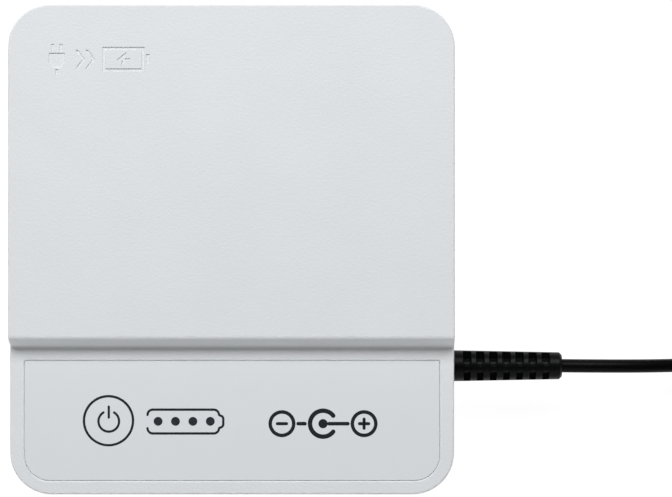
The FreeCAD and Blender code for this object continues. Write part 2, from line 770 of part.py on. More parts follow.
def make_power_button():
    """The round cap with its retaining flange, hollow underside and central stem."""
    body = new_body("PowerButton")
    cap = sketch_on(body, "CapOutline", lift=size.button_flange_bottom)
    draw_disc(cap, 0, 0, size.button_radius)
    add_feature(body, "Pad", "CapPad", cap, size.strip_top - size.button_flange_bottom)
    dress_edges(body, "Chamfer", "CapChamfer", size.button_edge, lies_at_height(size.strip_top.number))
    flange = sketch_on(body, "Flange", lift=size.button_flange_bottom)
    draw_disc(flange, 0, 0, size.button_flange)
    add_feature(body, "Pad", "FlangePad", flange, size.button_flange_top - size.button_flange_bottom)
    hollow = sketch_on(body, "Hollow", lift=size.button_flange_bottom)
    draw_disc(hollow, 0, 0, size.button_hollow)
    hollow_depth = size.button_roof - size.button_flange_bottom
    add_feature(body, "Pocket", "HollowCut", hollow, hollow_depth, backwards=True)
    stem = sketch_on(body, "Stem", lift=size.button_stem_bottom)
    draw_disc(stem, 0, 0, size.button_stem)
    add_feature(body, "Pad", "StemPad", stem, size.button_roof - size.button_stem_bottom + 0.1)
    place(body, -size.button_across, -size.button_along)
    keep("power_button", body)


def make_light_guide():
    """Four clear rods that carry the lamps' light to the faceplate, joined by a bar."""
    rods = []
    rod_height = size.strip_top - size.guide_bottom
    foot_height = size.guide_bar_top - size.guide_bottom
    for lamp in range(4):
        across = size.lamp_pitch * lamp - size.lamp_first
        rods.append(rod(across, -size.lamp_along, size.guide_bottom, size.guide_radius, rod_height))
        rods.append(rod(across, -size.lamp_along, size.guide_bottom, size.guide_foot, foot_height))
    middle = size.lamp_pitch * 1.5 - size.lamp_first
    bar_height = size.guide_bar_top - size.guide_bar_bottom
    bar = block(middle, -size.lamp_along, size.guide_bar_bottom, size.lamp_pitch * 3 + 4.6, 2.4, bar_height)
    keep("light_guide", join(bar, *rods))


def make_case_hardware():
    """Feet, case screws and the blank rating label."""
    feet = []
    screws = []
    for across, along in ALL_CORNERS:
        foot_height = size.case_bottom + size.foot_recess - 0.02
        foot = rod(size.foot_across * across, size.foot_along * along, 0, size.foot_radius, foot_height)
        feet.append(rounded(foot, 0.4, lies_at_height(0)))
        x = size.boss_across * across
        y = size.boss_along * along
        head = rod(x, y, size.screw_shoulder - 1.7, size.screw_head, 1.65)
        shank = rod(x, y, size.screw_shoulder - 0.1, size.screw_shank, 10)
        cross = (
            block(x, y, size.screw_shoulder - 1.8, 2.6, 0.6, 1.1),
            block(x, y, size.screw_shoulder - 1.8, 0.6, 2.6, 1.1),
        )
        screws.append(carve(join(head, shank), *cross))
    keep("rubber_feet", group(*feet))
    keep("case_screws", group(*screws))
    label = block(0, size.label_middle, size.case_bottom + 0.08, size.label_width, size.label_depth, 0.2)
    keep("rating_label", rounded(label, 1.4, lambda edge: abs(edge.BoundBox.ZLength - 0.2) < 1e-4))


# ---------------------------------------------------------------- strain relief


def make_strain_relief():
    """The slotted sleeve: flange and neck in the wall, rows of blind slots above and below a web."""
    body = new_body("StrainRelief")
    flange_start = size.case_width / 2 - size.wall - 1.7
    neck_start = size.case_width / 2 - size.wall - 0.1
    end_round = 0.6
    profile = sketch_on(body, "SleeveProfile", "XZ_Plane")
    corners = [
        (flange_start, 0),
        (size.relief_end, 0),
        (size.relief_end, size.relief_narrow - end_round),
        (size.relief_end - end_round, size.relief_narrow),
        (size.relief_start, size.relief_wide),
        (size.relief_start, size.relief_neck),
        (neck_start, size.relief_neck),
        (neck_start, size.relief_flange),
        (flange_start, size.relief_flange),
    ]
    draw_polygon(profile, corners)
    doc.recompute()
    sleeve = body.newObject("PartDesign::Revolution", "Sleeve")
    sleeve.Profile = profile
    sleeve.ReferenceAxis = (profile, ["H_Axis"])
    sleeve.Angle = 360
    doc.recompute()
    count = int(size.slot_count.number)
    rows = (
        ("WideSlot", size.slot_wide, size.slot_wide_corner, 1),
        ("NarrowSlot", size.slot_narrow, size.slot_narrow_corner, -1),
    )
    for name, width, corner, side in rows:
        for face, level in (("Upper", 1), ("Lower", -1)):
            middle = (size.spine_half + size.slot_reach / 2) * side
            sketch = sketch_on(body, name + face, lift=size.web_half * level, x=size.slot_first, y=middle)
            draw_panel(sketch, width, size.slot_reach, corner)
            cut_name = f"{name}{face}Cut"
            cut = add_feature(body, "Pocket", cut_name, sketch, size.slot_reach, backwards=level > 0)
            pattern = body.newObject("PartDesign::LinearPattern", name + face + "Row")
            pattern.Originals = [cut]
            pattern.Direction = (sketch, ["H_Axis"])
            bind(pattern, "Length", size.slot_pitch * (count - 1))
            pattern.Occurrences = count
            body.Tip = pattern
            doc.recompute()
    core = sketch_on(body, "Core", "YZ_Plane", lift=size.relief_start)
    draw_disc(core, 0, 0, size.relief_core)
    add_feature(body, "Pad", "CorePad", core, size.relief_end - size.relief_start - 1)
    inner = sketch_on(body, "InnerJacket", "YZ_Plane", lift=flange_start - 5)
    draw_disc(inner, 0, 0, size.lead_radius)
    add_feature(body, "Pad", "InnerJacketPad", inner, 6)
    body.Placement = Placement(Vector(), Rotation(Vector(1, 0, 0), size.relief_turn.number))
    bind(body, "Placement.Base.y", -size.lead_along)
    bind(body, "Placement.Base.z", size.lead_height)
    keep("strain_relief", body)


# ---------------------------------------------------------------- boards and what they carry


SEAT = 0.02
BOARD_SCREW = {"hole": 1.15, "shank": 0.9, "slot_length": 3.0, "slot_width": 0.5}
LED_BASE = (2.0, 1.3, 0.5)
LED_LENS = (1.2, 1.1, 0.5)
LED_LENS_RISE = 0.4
SWITCH_SHELL = (6.2, 6.2, 3.4)
SWITCH_LEG = (1.2, 0.7, 0.3)
SWITCH_LEG_PLACE = (3.75, 2.2)
PLUNGER_RISE = 1.65
DOME_TOP = 1.55
DOME_OUTER = 3.4
DOME_INNER = 3.2
LINK_PLACE = (-8.0, -45.2)
LINK_STRIP = (12.7, 2.4, 2.5)
LINK_PITCH = 2.54
LINK_PIN = 0.64


def board_top():
    """Height of the main board's upper face."""
    return size.board_bottom + size.board_thickness


def on_board():
    """Height at which parts stand on the main board, a hair above it."""
    return board_top() + SEAT


def make_boards():
    """The main board on its standoffs, the indicator board under the strip, and their screws."""
    thickness = size.board_thickness
    plate = block(0, -size.board_middle, size.board_bottom, size.board_width, size.board_depth, thickness)
    holes = []
    screws = []
    for across in (-1, 1):
        for along in (size.board_hole_rear, size.board_hole_front):
            x = size.board_hole_across * across
            holes.append(rod(x, -along, size.board_bottom - 1, BOARD_SCREW["hole"], 4))
            head = rod(x, -along, board_top() + 0.03, 2.1, 1.4)
            shank = rod(x, -along, size.board_bottom - 2.2, BOARD_SCREW["shank"], 4.4)
            slot_size = (BOARD_SCREW["slot_length"], BOARD_SCREW["slot_width"], 2)
            slot = block(x, -along, board_top() + 0.9, *slot_size)
            screws.append(carve(join(head, shank), slot))
    keep("main_board", carve(rounded(plate, 1.5, is_upright), *holes))
    keep("board_screws", group(*screws))

    length = size.panel_board_left + size.panel_board_right
    middle = (size.panel_board_right - size.panel_board_left) / 2
    bottom = size.panel_board_top - thickness
    panel_board = block(middle, -size.button_along, bottom, length, size.panel_board_depth, thickness)
    holes = []
    screws = []
    for across in (-size.panel_screw_left, size.panel_screw_right):
        holes.append(rod(across, -size.button_along, bottom - 1, BOARD_SCREW["hole"], 4))
        head = rod(across, -size.button_along, bottom - 1.33, 2.0, 1.3)
        shank = rod(across, -size.button_along, bottom - 0.2, BOARD_SCREW["shank"], 6)
        slot_size = (BOARD_SCREW["slot_length"], BOARD_SCREW["slot_width"], 1.2)
        slot = block(across, -size.button_along, bottom - 2, *slot_size)
        screws.append(carve(join(head, shank), slot))
    keep("indicator_board", carve(rounded(panel_board, 1.0, is_upright), *holes))
    keep("indicator_screws", group(*screws))
    lamps = []
    for lamp in range(4):
        x = size.lamp_pitch * lamp - size.lamp_first
        base = block(x, -size.lamp_along, size.panel_board_top + SEAT, *LED_BASE)
        lens = block(x, -size.lamp_along, size.panel_board_top + LED_LENS_RISE, *LED_LENS)
        lamps.append(join(base, lens))
    keep("indicator_leds", group(*lamps))


def make_switch():
    """The tactile switch under the button: body, legs, snap dome and plunger."""
    x = -size.button_across
    y = -size.button_along
    base = size.panel_board_top + SEAT
    shell = block(x, y, base, *SWITCH_SHELL)
    well = rod(x, y, base + 0.4, 2.65, 2.4)
    mouth = rod(x, y, base + 2.5, 1.9, 2)
    keep("switch_body", carve(rounded(shell, 0.4, is_upright), well, mouth))
    legs = []
    leg_across, leg_along = SWITCH_LEG_PLACE
    for across in (-1, 1):
        for along in (-1, 1):
            legs.append(block(x + leg_across * across, y + leg_along * along, base, *SWITCH_LEG))
    keep("switch_legs", group(*legs))
    flange = rod(x, y, base + PLUNGER_RISE, 2.4, 1.05)
    post = rod(x, y, base + PLUNGER_RISE, 1.7, size.button_stem_bottom - base - PLUNGER_RISE - 0.05)
    keep("switch_plunger", join(flange, post))
    ball = doc.addObject("Part::Sphere", "DomeBall")
    bind(ball, "Radius", DOME_OUTER)
    place(ball, x, y, base + DOME_TOP - DOME_OUTER)
    inner_ball = doc.addObject("Part::Sphere", "DomeInner")
    bind(inner_ball, "Radius", DOME_INNER)
    place(inner_ball, x, y, base + DOME_TOP - DOME_OUTER)
    slab = rod(x, y, base + 0.43, 2.5, 1.2)
    cap = doc.addObject("Part::MultiCommon", "DomeCap")
    cap.Shapes = [ball, slab]
    keep("switch_dome", carve(cap, inner_ball))


def make_link():
    """The pin header that joins the indicator board to the main board."""
    x, y = LINK_PLACE
    gap = size.panel_board_top - size.board_thickness - board_top()
    strip = block(x, y, on_board(), *LINK_STRIP)
    pins = []
    for pin in range(5):
        place_across = x + LINK_PITCH * (pin - 2)
        pins.append(block(place_across, y, board_top() + 2.4, LINK_PIN, LINK_PIN, gap - 2.45))
    keep("link_header", join(strip, *pins))


def make_input_jack():
    """The input jack on the left wall: moulded housing, centre pin and three contacts."""
    z = size.parting
    front = -size.jack_face
    middle = front + size.jack_length / 2
    low = on_board()
    housing = block(middle, -size.jack_along, low, size.jack_length, size.jack_width, size.jack_height)
    bore = rod_along_x(front - 1, -size.jack_along, z, size.jack_bore, size.jack_bore_depth + 1)
    bore_end = front + size.jack_bore_depth
    seat = rod_along_x(bore_end - 0.5, -size.jack_along, z, size.jack_pin_root + 0.02, 2)
    relief = block(middle + 4, -size.jack_along, low + 8.6, 4, 5, 4)
    keep("dc_jack_housing", carve(rounded(housing, 0.5, is_upright), bore, seat, relief))
    pin_tip = bore_end - size.jack_pin_length
    pin = rod_along_x(pin_tip, -size.jack_along, z, size.jack_pin, size.jack_pin_length + 0.1)
    pin = rounded(pin, 0.35, lambda edge: abs(edge.BoundBox.XMax - pin_tip.number) < 1e-3)
    root = rod_along_x(bore_end, -size.jack_along, z, size.jack_pin_root, 1.45)
    keep("dc_jack_pin", join(pin, root))
    back = front + size.jack_length
    tabs = [block(back + 0.7, -size.jack_along, low, 1.2, 2.2, 5.0)]
    tabs.append(block(back - 3, -size.jack_along + size.jack_width / 2 + 0.4, low, 2.2, 0.6, 4.0))
    keep("dc_jack_contacts", group(*tabs))


CHIP_LIFT = 0.2
CHIP_WAIST = 0.3
CHIP_HEIGHT = 1.5
CHIP_LEG = (0.45, 1.2, 0.5)
CHIP_LEG_REACH = 0.65
CHARGER_CHIP = (-10.0, -19.0, 9.8, 3.9)
BOOST_CHIP = (-26.0, -19.0, 4.9, 3.9)
INDUCTOR_PLACE = (12.0, -22.0)
INDUCTOR_FLANGE = (6.0, 1.6)
INDUCTOR_HEIGHT = 9.0
CAN_RADIUS = 4.0
CANS = ((26.0, -15.0, 12.0), (36.0, -15.0, 12.0), (26.0, -39.5, 9.0))
TRANSISTOR_ACROSS = 37.0
TRANSISTOR_ROWS = (-26.5, -34.5)
TRANSISTOR_CASE = (6.4, 6.0, 2.2)
TRANSISTOR_TAB = (1.8, 5.0, 0.6)
HEAT_SINK_PLACE = (37.5, -30.5)
HEAT_SINK_BASE = (8.0, 15.0, 1.2)
FIN = (0.8, 15.0, 5.0)
FIN_FIRST = 34.0
FIN_PITCH = 1.75
DIODE_ACROSS = -33.5
DIODE_ROWS = (-13.5, -18.5, -25.5)
DIODE_BODY = (5.0, 3.2, 1.8)
DIODE_LEADS = (7.0, 1.8, 0.35)
FUSE_START = (-21.0, -26.5)
FUSE_RISE = 1.5
RESISTOR = (2.0, 1.25, 0.5)
RESISTOR_UPRIGHT = (1.25, 2.0, 0.5)
CAPACITOR = (1.25, 2.0, 0.9)
PASSIVE_FIRST = -16.0
PASSIVE_PITCH = 3.2


def chip(x, y, length, width, height):
    """A moulded chip body with a slight waist, standing just above the board."""
    base = board_top() + CHIP_LIFT
    low = block(x, y, base, length, width, height / 2)
    high = block(x, y, base + height / 2 - 0.05, length - CHIP_WAIST, width - CHIP_WAIST, height / 2)
    dot = rod(x - length / 2 + 1, y - width / 2 + 1, base + height - 0.2, 0.35, 1)
    return carve(join(low, high), dot)


def chip_legs(x, y, length, width, count):
    """Two rows of gull-wing legs beside a chip."""
    legs = []
    for leg in range(count):
        across = x - length / 2 + (leg + 0.5) * length / count
        for side in (-1, 1):
            legs.append(block(across, y + side * (width / 2 + CHIP_LEG_REACH), on_board(), *CHIP_LEG))
    return legs


def make_power_parts():
    """Inductor, capacitors, chips, transistors with their heat sink, diodes and fuse."""
    top = on_board()
    x, y = INDUCTOR_PLACE
    lower = rod(x, y, top, *INDUCTOR_FLANGE)
    upper = rod(x, y, top + INDUCTOR_HEIGHT - INDUCTOR_FLANGE[1], *INDUCTOR_FLANGE)
    core = rod(x, y, top, 3.0, INDUCTOR_HEIGHT)
    keep("inductor_core", join(lower, upper, core))
    winding = carve(rod(x, y, top + 1.65, 5.4, 5.7), rod(x, y, top, 3.05, 9))
    keep("inductor_winding", winding)

    cans = []
    for across, along, height in CANS:
        can = rod(across, along, top, CAN_RADIUS, height)
        outside = rod(across, along, top + 1.4, CAN_RADIUS + 0.5, 0.6)
        crimp = carve(outside, rod(across, along, top + 1, CAN_RADIUS - 0.25, 2))
        cans.append(rounded(carve(can, crimp), 0.35, lies_at_height(top.number + height)))
    keep("bulk_capacitors", group(*cans))

    keep("charger_chip", chip(*CHARGER_CHIP, CHIP_HEIGHT))
    keep("boost_chip", chip(*BOOST_CHIP, CHIP_HEIGHT))
    legs = chip_legs(*CHARGER_CHIP, 8) + chip_legs(*BOOST_CHIP, 4)
    keep("chip_legs", group(*legs))

    transistors = []
    for along in TRANSISTOR_ROWS:
        case = block(TRANSISTOR_ACROSS, along, top, *TRANSISTOR_CASE)
        tab = block(TRANSISTOR_ACROSS + 3.9, along, top, *TRANSISTOR_TAB)
        transistors.append(join(case, tab))
    keep("power_transistors", group(*transistors))
    plate_height = top + 2.25
    base = block(*HEAT_SINK_PLACE, plate_height, *HEAT_SINK_BASE)
    fins = []
    for fin in range(5):
        fins.append(block(FIN_FIRST + FIN_PITCH * fin, HEAT_SINK_PLACE[1], plate_height + 1.1, *FIN))
    keep("heat_sink", join(base, *fins))

    diodes = []
    for along in DIODE_ROWS:
        moulding = block(DIODE_ACROSS, along, top + 0.3, *DIODE_BODY)
        diodes.append(join(moulding, block(DIODE_ACROSS, along, top, *DIODE_LEADS)))
    keep("diodes", group(*diodes))
    start, along = FUSE_START
    ends = [rod_along_x(start + reach, along, top + FUSE_RISE, 1.45, 2.5) for reach in (-0.75, 6.25)]
    keep("fuse", join(rod_along_x(start, along, top + FUSE_RISE, 1.2, 8), *ends))


def make_chip_passives():
    """Rows of chip resistors and chip capacitors."""
    top = on_board()
    resistors = []
    capacitors = []
    for column in range(7):
        across = PASSIVE_FIRST + PASSIVE_PITCH * column
        resistors.append(block(across, -31.5, top, *RESISTOR))
        capacitors.append(block(across, -12.0, top, *CAPACITOR))
    for column in range(4):
        resistors.append(block(14.0 + 3.4 * column, LINK_PLACE[1], top, *RESISTOR_UPRIGHT))
    keep("chip_resistors", group(*resistors))
    keep("chip_capacitors", group(*capacitors))


# ---------------------------------------------------------------- battery


CAP_RADIUS = 3.4
CAP_LENGTH = 1.2
STRIP_THICKNESS = 0.2
STRIP_HEIGHT = 5.0
STRIP_END = 8.0
CRADLE_WINDOW = (22.0, 50.0, 2.4)
FOAM = (52.0, 44.0)
BARRIER_ALONG = -7.4
BARRIER_BOTTOM = 3.1
BARRIER_THICKNESS = 0.4
BARRIER_HEIGHT = 17.0
GUARD_ACROSS = 33.5
GUARD_BOTTOM = 5.0
GUARD_TOP = 20.0
GUARD_THICKNESS = 1.2
GUARD_LENGTH = 46.0
GUARD_CHIP = (1.6, 4.4, 5.0)
GUARD_CHIP_BOTTOM = 9.0
GUARD_CHIPS = (8.0, 16.0, 28.0, 36.0)
BATTERY_PLUG_PLACE = (18.0, -11.0)
BATTERY_HEADER = (8.0, 5.8, 6.2)
BATTERY_SOCKET = (6.4, 4.3, 6.0)
BATTERY_PLUG = (6.2, 4.1, 7.2)
BATTERY_PLUG_RISE = 1.25
BATTERY_WIRE = 0.75
OUTPUT_WIRE = 0.6


def cell_along(number):
    """Place of a cell's axis, counted from the front."""
    return size.cell_first + size.cell_pitch * number


def crosses_guard(edge):
    """Whether an edge runs through the protection board's thickness."""
    return abs(edge.BoundBox.XLength - GUARD_THICKNESS) < 1e-4


def make_battery():
    """Three cells in a cradle, with end caps, nickel strips, a foam pad and a barrier sheet."""
    left = -size.cell_left
    cylinders = []
    for number, name in enumerate(("battery_cell_front", "battery_cell_middle", "battery_cell_rear")):
        y = cell_along(number)
        can = rod_along_x(left, y, size.cell_height, size.cell_radius, size.cell_length)
        groove = carve(
            rod_along_x(left + size.cell_length - 4.4, y, size.cell_height, size.cell_radius + 1, 1.2),
            rod_along_x(left + size.cell_length - 5, y, size.cell_height, size.cell_radius - 0.35, 3),
        )
        cell = rounded(can, 0.7, lambda edge: edge.BoundBox.XLength < 1e-3)
        keep(name, carve(cell, groove))
        cylinders.append(
            rod_along_x(left - 10, y, size.cell_height, size.cell_radius + 0.1, size.cell_length + 20)
        )

    caps = []
    strips = []
    right = left + size.cell_length
    for number in range(3):
        y = cell_along(number)
        caps.append(rod_along_x(right + 0.03, y, size.cell_height, CAP_RADIUS, CAP_LENGTH))
    keep("cell_caps", group(*caps))
    middle = cell_along(0) + size.cell_pitch / 2
    far = cell_along(1) + size.cell_pitch / 2
    low = size.cradle_top + 0.1
    span = size.cell_pitch + STRIP_END
    by_caps = right + 1.4
    by_cans = left - 0.15
    runs = (
        (by_caps, middle, span),
        (by_caps, cell_along(2), STRIP_END),
        (by_cans, far, span),
        (by_cans, cell_along(0), STRIP_END),
    )
    for x, y, reach in runs:
        strips.append(block(x, y, low, STRIP_THICKNESS, reach, STRIP_HEIGHT))
    keep("nickel_strips", group(*strips))

    cradle_middle = left + size.cell_length / 2
    tray = block(
        cradle_middle,
        cell_along(1),
        size.cradle_floor,
        size.cell_length + 5,
        size.cell_pitch * 2 + size.cell_radius * 2 + 2.6,
        size.cradle_top - size.cradle_floor,
    )
    windows = []
    for across in (-20.0, 20.0):
        windows.append(block(cradle_middle + across, cell_along(1), size.cradle_floor - 1, *CRADLE_WINDOW))
    keep("battery_cradle", carve(tray, *cylinders, *windows))
    pad_bottom = size.cell_height + size.cell_radius + 0.1
    pad_height = size.case_top - size.wall - pad_bottom - 0.15
    pad = block(cradle_middle, cell_along(1), pad_bottom, *FOAM, pad_height)
    keep("foam_pad", rounded(pad, 2.0, is_upright))
    barrier_size = (size.cell_length + 4, BARRIER_THICKNESS, BARRIER_HEIGHT)
    keep("barrier_sheet", block(cradle_middle, BARRIER_ALONG, BARRIER_BOTTOM, *barrier_size))

    guard_size = (GUARD_THICKNESS, GUARD_LENGTH, GUARD_TOP - GUARD_BOTTOM)
    guard = block(GUARD_ACROSS, cell_along(1), GUARD_BOTTOM, *guard_size)
    keep("protection_board", rounded(guard, 0.3, crosses_guard))
    parts = []
    chip_across = GUARD_ACROSS + GUARD_THICKNESS / 2 + GUARD_CHIP[0] / 2 + SEAT
    for along in GUARD_CHIPS:
        parts.append(block(chip_across, along, GUARD_CHIP_BOTTOM, *GUARD_CHIP))
    keep("protection_chips", group(*parts))


def make_wiring():
    """Battery leads to their plug on the main board, and the output wires from the strain relief."""
    top = on_board()
    shell = block(*BATTERY_PLUG_PLACE, top, *BATTERY_HEADER)
    socket = block(*BATTERY_PLUG_PLACE, top + 1.2, *BATTERY_SOCKET)
    keep("battery_header", carve(shell, socket))
    plug = block(*BATTERY_PLUG_PLACE, top + BATTERY_PLUG_RISE, *BATTERY_PLUG)
    keep("battery_plug", rounded(plug, 0.4, is_upright))
    plug_top = top.number + BATTERY_PLUG_RISE + BATTERY_PLUG[2]
    wire = as_size(BATTERY_WIRE)
    leads = (("battery_lead_red", 19.4, 2.0, 9.0), ("battery_lead_black", 16.6, -2.0, 14.0))
    for name, across, side, reach in leads:
        route = [
            (across, BATTERY_PLUG_PLACE[1], plug_top + SEAT),
            (across, BATTERY_PLUG_PLACE[1], plug_top + 4.2),
            (across + 4.0, -8.0, plug_top + 6.6),
            (across + 10.0, -3.0, plug_top + 7.2),
            (GUARD_ACROSS + side, reach - 6.0, plug_top + 7.6),
            (GUARD_ACROSS, reach, plug_top + 7.0),
            (GUARD_ACROSS, reach + 0.3, GUARD_TOP + 0.15),
        ]
        keep(name, tube(name, route, wire))
    start_x = size.case_width.number / 2 - size.wall.number - 1.7 - 5.05
    for name, offset, landing in (("output_wire_red", 0.78, -24.6), ("output_wire_black", -0.78, -31.0)):
        y = -size.lead_along.number + offset
        route = [
            (start_x, y, size.lead_height.number),
            (start_x - 1.4, y, size.lead_height.number),
            (start_x - 1.9, y + 0.3 * offset, size.lead_height.number - 2.0),
            (start_x - 1.6, landing, top.number + 2.0),
            (start_x - 1.6, landing, top.number),
        ]
        keep(name, tube(name, route, as_size(OUTPUT_WIRE)))


# ---------------------------------------------------------------- output lead


LEAD_ROUTE = (
    (79.42, -28.0, 13.0),
    (90.5, -28.1, 13.0),
    (102.5, -28.18, 9.8),
    (114.0, -28.1, 4.4),
    (125.0, -27.7, 2.1),
    (135.5, -27.1, 2.2),
)
TAIL_EXIT_ANGLE = 33.0
TAIL_STEPS = (
    (0.0, 0.0, 5.5),
    (6.5, -0.2, 5.2),
    (13.0, 0.2, 3.2),
    (19.5, 0.1, 3.1),
    (25.5, 0.0, 5.0),
    (31.0, 0.0, 5.0),
)


def tail_frame():
    """Where the lead leaves the coil, and the directions along and beside it."""
    angle = math.radians(TAIL_EXIT_ANGLE)
    outer = size.coil_mean.number + size.turn_pitch.number
    exit_point = Vector(
        size.coil_across.number + outer * math.cos(angle),
        -size.coil_along.number + outer * math.sin(angle),
        0,
    )
    beside = Vector(math.cos(angle), math.sin(angle), 0)
    return exit_point, Vector(-beside.y, beside.x, 0), beside


def make_output_lead():
    """The lead from the strain relief to the coil, the coil of spare length and the tail to the plug."""
    keep("output_lead", tube("output_lead", LEAD_ROUTE, size.lead_radius, show_radii=True))
    exit_point, along, beside = tail_frame()
    route = []
    for forward, sideways, height in TAIL_STEPS:
        point = exit_point + along * forward + beside * sideways
        route.append((point.x, point.y, height))
    keep("output_lead_tail", tube("output_lead_tail", route, size.lead_radius, show_radii=True))

    body = new_body("Coil")
    half = size.turn_pitch + size.lead_radius
    inner = size.coil_mean - half
    outer = size.coil_mean + half
    low = size.coil_lift
    high = low + size.turn_pitch + 2 * size.lead_radius
    bevel = 1.0
    profile = sketch_on(body, "CoilSection", "XZ_Plane")
    corners = [
        (inner, low + bevel),
        (inner + bevel, low),
        (outer - bevel, low),
        (outer, low + bevel),
        (outer, high - bevel),
        (outer - bevel, high),
        (inner + bevel, high),
        (inner, high - bevel),
    ]
    draw_polygon(profile, corners)
    doc.recompute()
    ring = body.newObject("PartDesign::Revolution", "Ring")
    ring.Profile = profile
    ring.ReferenceAxis = (profile, ["V_Axis"])
    ring.Angle = 360
    place(body, size.coil_across, -size.coil_along)
    keep("output_lead_coil", body)

    band = size.tie_thickness
    clear = 0.05
    middle = size.coil_across - size.coil_mean
    inner_length = half * 2 + 2 * clear + 0.5
    inner_height = high - low + 2 * clear
    outside = block(
        middle,
        -size.coil_along,
        low - band - clear,
        inner_length + 2 * band,
        size.tie_width,
        inner_height + 2 * band,
    )
    inside = block(middle, -size.coil_along, low - clear, inner_length, size.tie_width + 2, inner_height)
    keep("cord_tie", carve(rounded(outside, 0.4, lambda edge: edge.BoundBox.YLength > 6), inside))


def make_output_plug():
    """The barrel plug on the end of the lead, lying beside the coil."""
    exit_point, along, beside = tail_frame()
    start = exit_point + along * (TAIL_STEPS[-1][0] + 0.05)
    heading = math.degrees(math.atan2(along.y, along.x))
    lie = Rotation(Vector(0, 0, 1), heading)

    def lay(item):
        item.Placement = Placement(Vector(start.x, start.y, size.plug_height.number), lie)
        return item

    grip = new_body("PlugGrip")
    profile = sketch_on(grip, "GripProfile", "XZ_Plane")
    tail_length = 9.0
    grip_end = 27.0
    corners = [
        (0, 0),
        (grip_end, 0),
        (grip_end, 4.3),
        (grip_end - 0.7, size.plug_grip),
        (tail_length + 1.6, size.plug_grip),
        (tail_length, 3.9),
        (tail_length, 3.0),
        (0.5, 2.3),
        (0, 2.0),
    ]
    draw_polygon(profile, corners)
    doc.recompute()
    turned = grip.newObject("PartDesign::Revolution", "GripTurned")
    turned.Profile = profile
    turned.ReferenceAxis = (profile, ["H_Axis"])
    turned.Angle = 360
    doc.recompute()
    rib = sketch_on(grip, "RibGroove", "XZ_Plane")
    first_rib = tail_length + 4.0
    for number in range(5):
        near = first_rib + 2.2 * number
        draw_polygon(rib, [(near, 4.55), (near + 0.9, 4.55), (near + 0.9, 6), (near, 6)])
    grooves = grip.newObject("PartDesign::Groove", "RibGrooves")
    grooves.Profile = rib
    grooves.ReferenceAxis = (rib, ["H_Axis"])
    grooves.Angle = 360
    doc.recompute()
    keep("plug_grip", lay(grip))

    base = grip_end + 0.05
    barrel_end = base + size.plug_barrel_length
    shell = rod_along_x(base, 0, 0, size.plug_barrel, size.plug_barrel_length)
    hollow = rod_along_x(base + 0.6, 0, 0, size.plug_barrel - 0.35, size.plug_barrel_length)
    keep("plug_barrel", lay(carve(shell, hollow)))
    lining = rod_along_x(base + 0.65, 0, 0, size.plug_barrel - 0.4, size.plug_barrel_length - 1.0)
    throat = rod_along_x(base + 1.0, 0, 0, size.plug_bore + 0.35, size.plug_barrel_length)
    keep("plug_insulator", lay(carve(lining, throat)))
    socket = rod_along_x(base + 1.05, 0, 0, size.plug_bore + 0.3, size.plug_barrel_length - 1.8)
    socket_bore = rod_along_x(base + 1.6, 0, 0, size.plug_bore, size.plug_barrel_length)
    keep("plug_contact", lay(carve(socket, socket_bore)))
    print(f"plug tip at {tuple(round(v, 1) for v in start + along * barrel_end.number)}")


# ---------------------------------------------------------------- build, check, write


def check_and_write():
    """Recompute, test every object and every sub-part, and write one file for each sub-part."""
    doc.recompute()
    for item in doc.Objects:
        if "Invalid" in item.State or "Error" in item.State:
            raise RuntimeError(f"{item.Name} ({item.Label}) failed: {item.State}")
    os.makedirs("parts", exist_ok=True)
    for name, item in pieces.items():
        shape = item.Shape
        if shape.isNull() or not shape.isValid():
            raise RuntimeError(f"{name} has no valid shape")
        if not shape.Solids:
            raise RuntimeError(f"{name} holds no solid")
        shape.exportStep(f"parts/{name}.step")
    print(f"{len(pieces)} sub-parts written")


make_top_cover()
make_bottom_cover()
make_front_panel()
make_power_button()
make_light_guide()
make_case_hardware()
make_strain_relief()
make_boards()
make_switch()
make_link()
make_input_jack()
make_power_parts()
make_chip_passives()
make_battery()
make_wiring()
make_output_lead()
make_output_plug()
check_and_write()
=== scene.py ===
import math
import bpy
import bmesh
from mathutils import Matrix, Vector


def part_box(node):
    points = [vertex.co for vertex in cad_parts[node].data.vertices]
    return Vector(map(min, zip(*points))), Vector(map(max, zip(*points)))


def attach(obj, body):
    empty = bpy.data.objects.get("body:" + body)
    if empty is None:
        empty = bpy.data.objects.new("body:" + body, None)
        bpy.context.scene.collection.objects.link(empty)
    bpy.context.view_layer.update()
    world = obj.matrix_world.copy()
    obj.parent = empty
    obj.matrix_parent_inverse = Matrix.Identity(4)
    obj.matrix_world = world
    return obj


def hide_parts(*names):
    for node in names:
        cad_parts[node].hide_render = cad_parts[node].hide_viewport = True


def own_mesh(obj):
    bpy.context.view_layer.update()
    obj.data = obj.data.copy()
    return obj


# The finished look of a small DC uninterruptible power supply: camera, lead, printed marks, snap dome,
# materials and light. Everything is in metres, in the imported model's frame: +Y towards the plain rear edge,
# +X towards the output lead.

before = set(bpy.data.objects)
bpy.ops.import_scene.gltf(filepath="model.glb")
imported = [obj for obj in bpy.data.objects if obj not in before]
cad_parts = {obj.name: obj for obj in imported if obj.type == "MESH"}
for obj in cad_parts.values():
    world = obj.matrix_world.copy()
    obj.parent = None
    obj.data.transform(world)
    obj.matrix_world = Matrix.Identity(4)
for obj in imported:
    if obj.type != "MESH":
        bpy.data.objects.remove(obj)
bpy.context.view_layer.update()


# ---------------------------------------------------------------- camera

CAMERA_PLACE = (0.0248, 0.0004, 0.718)
CAMERA_LENS = 155.9
SENSOR_WIDTH = 36.0


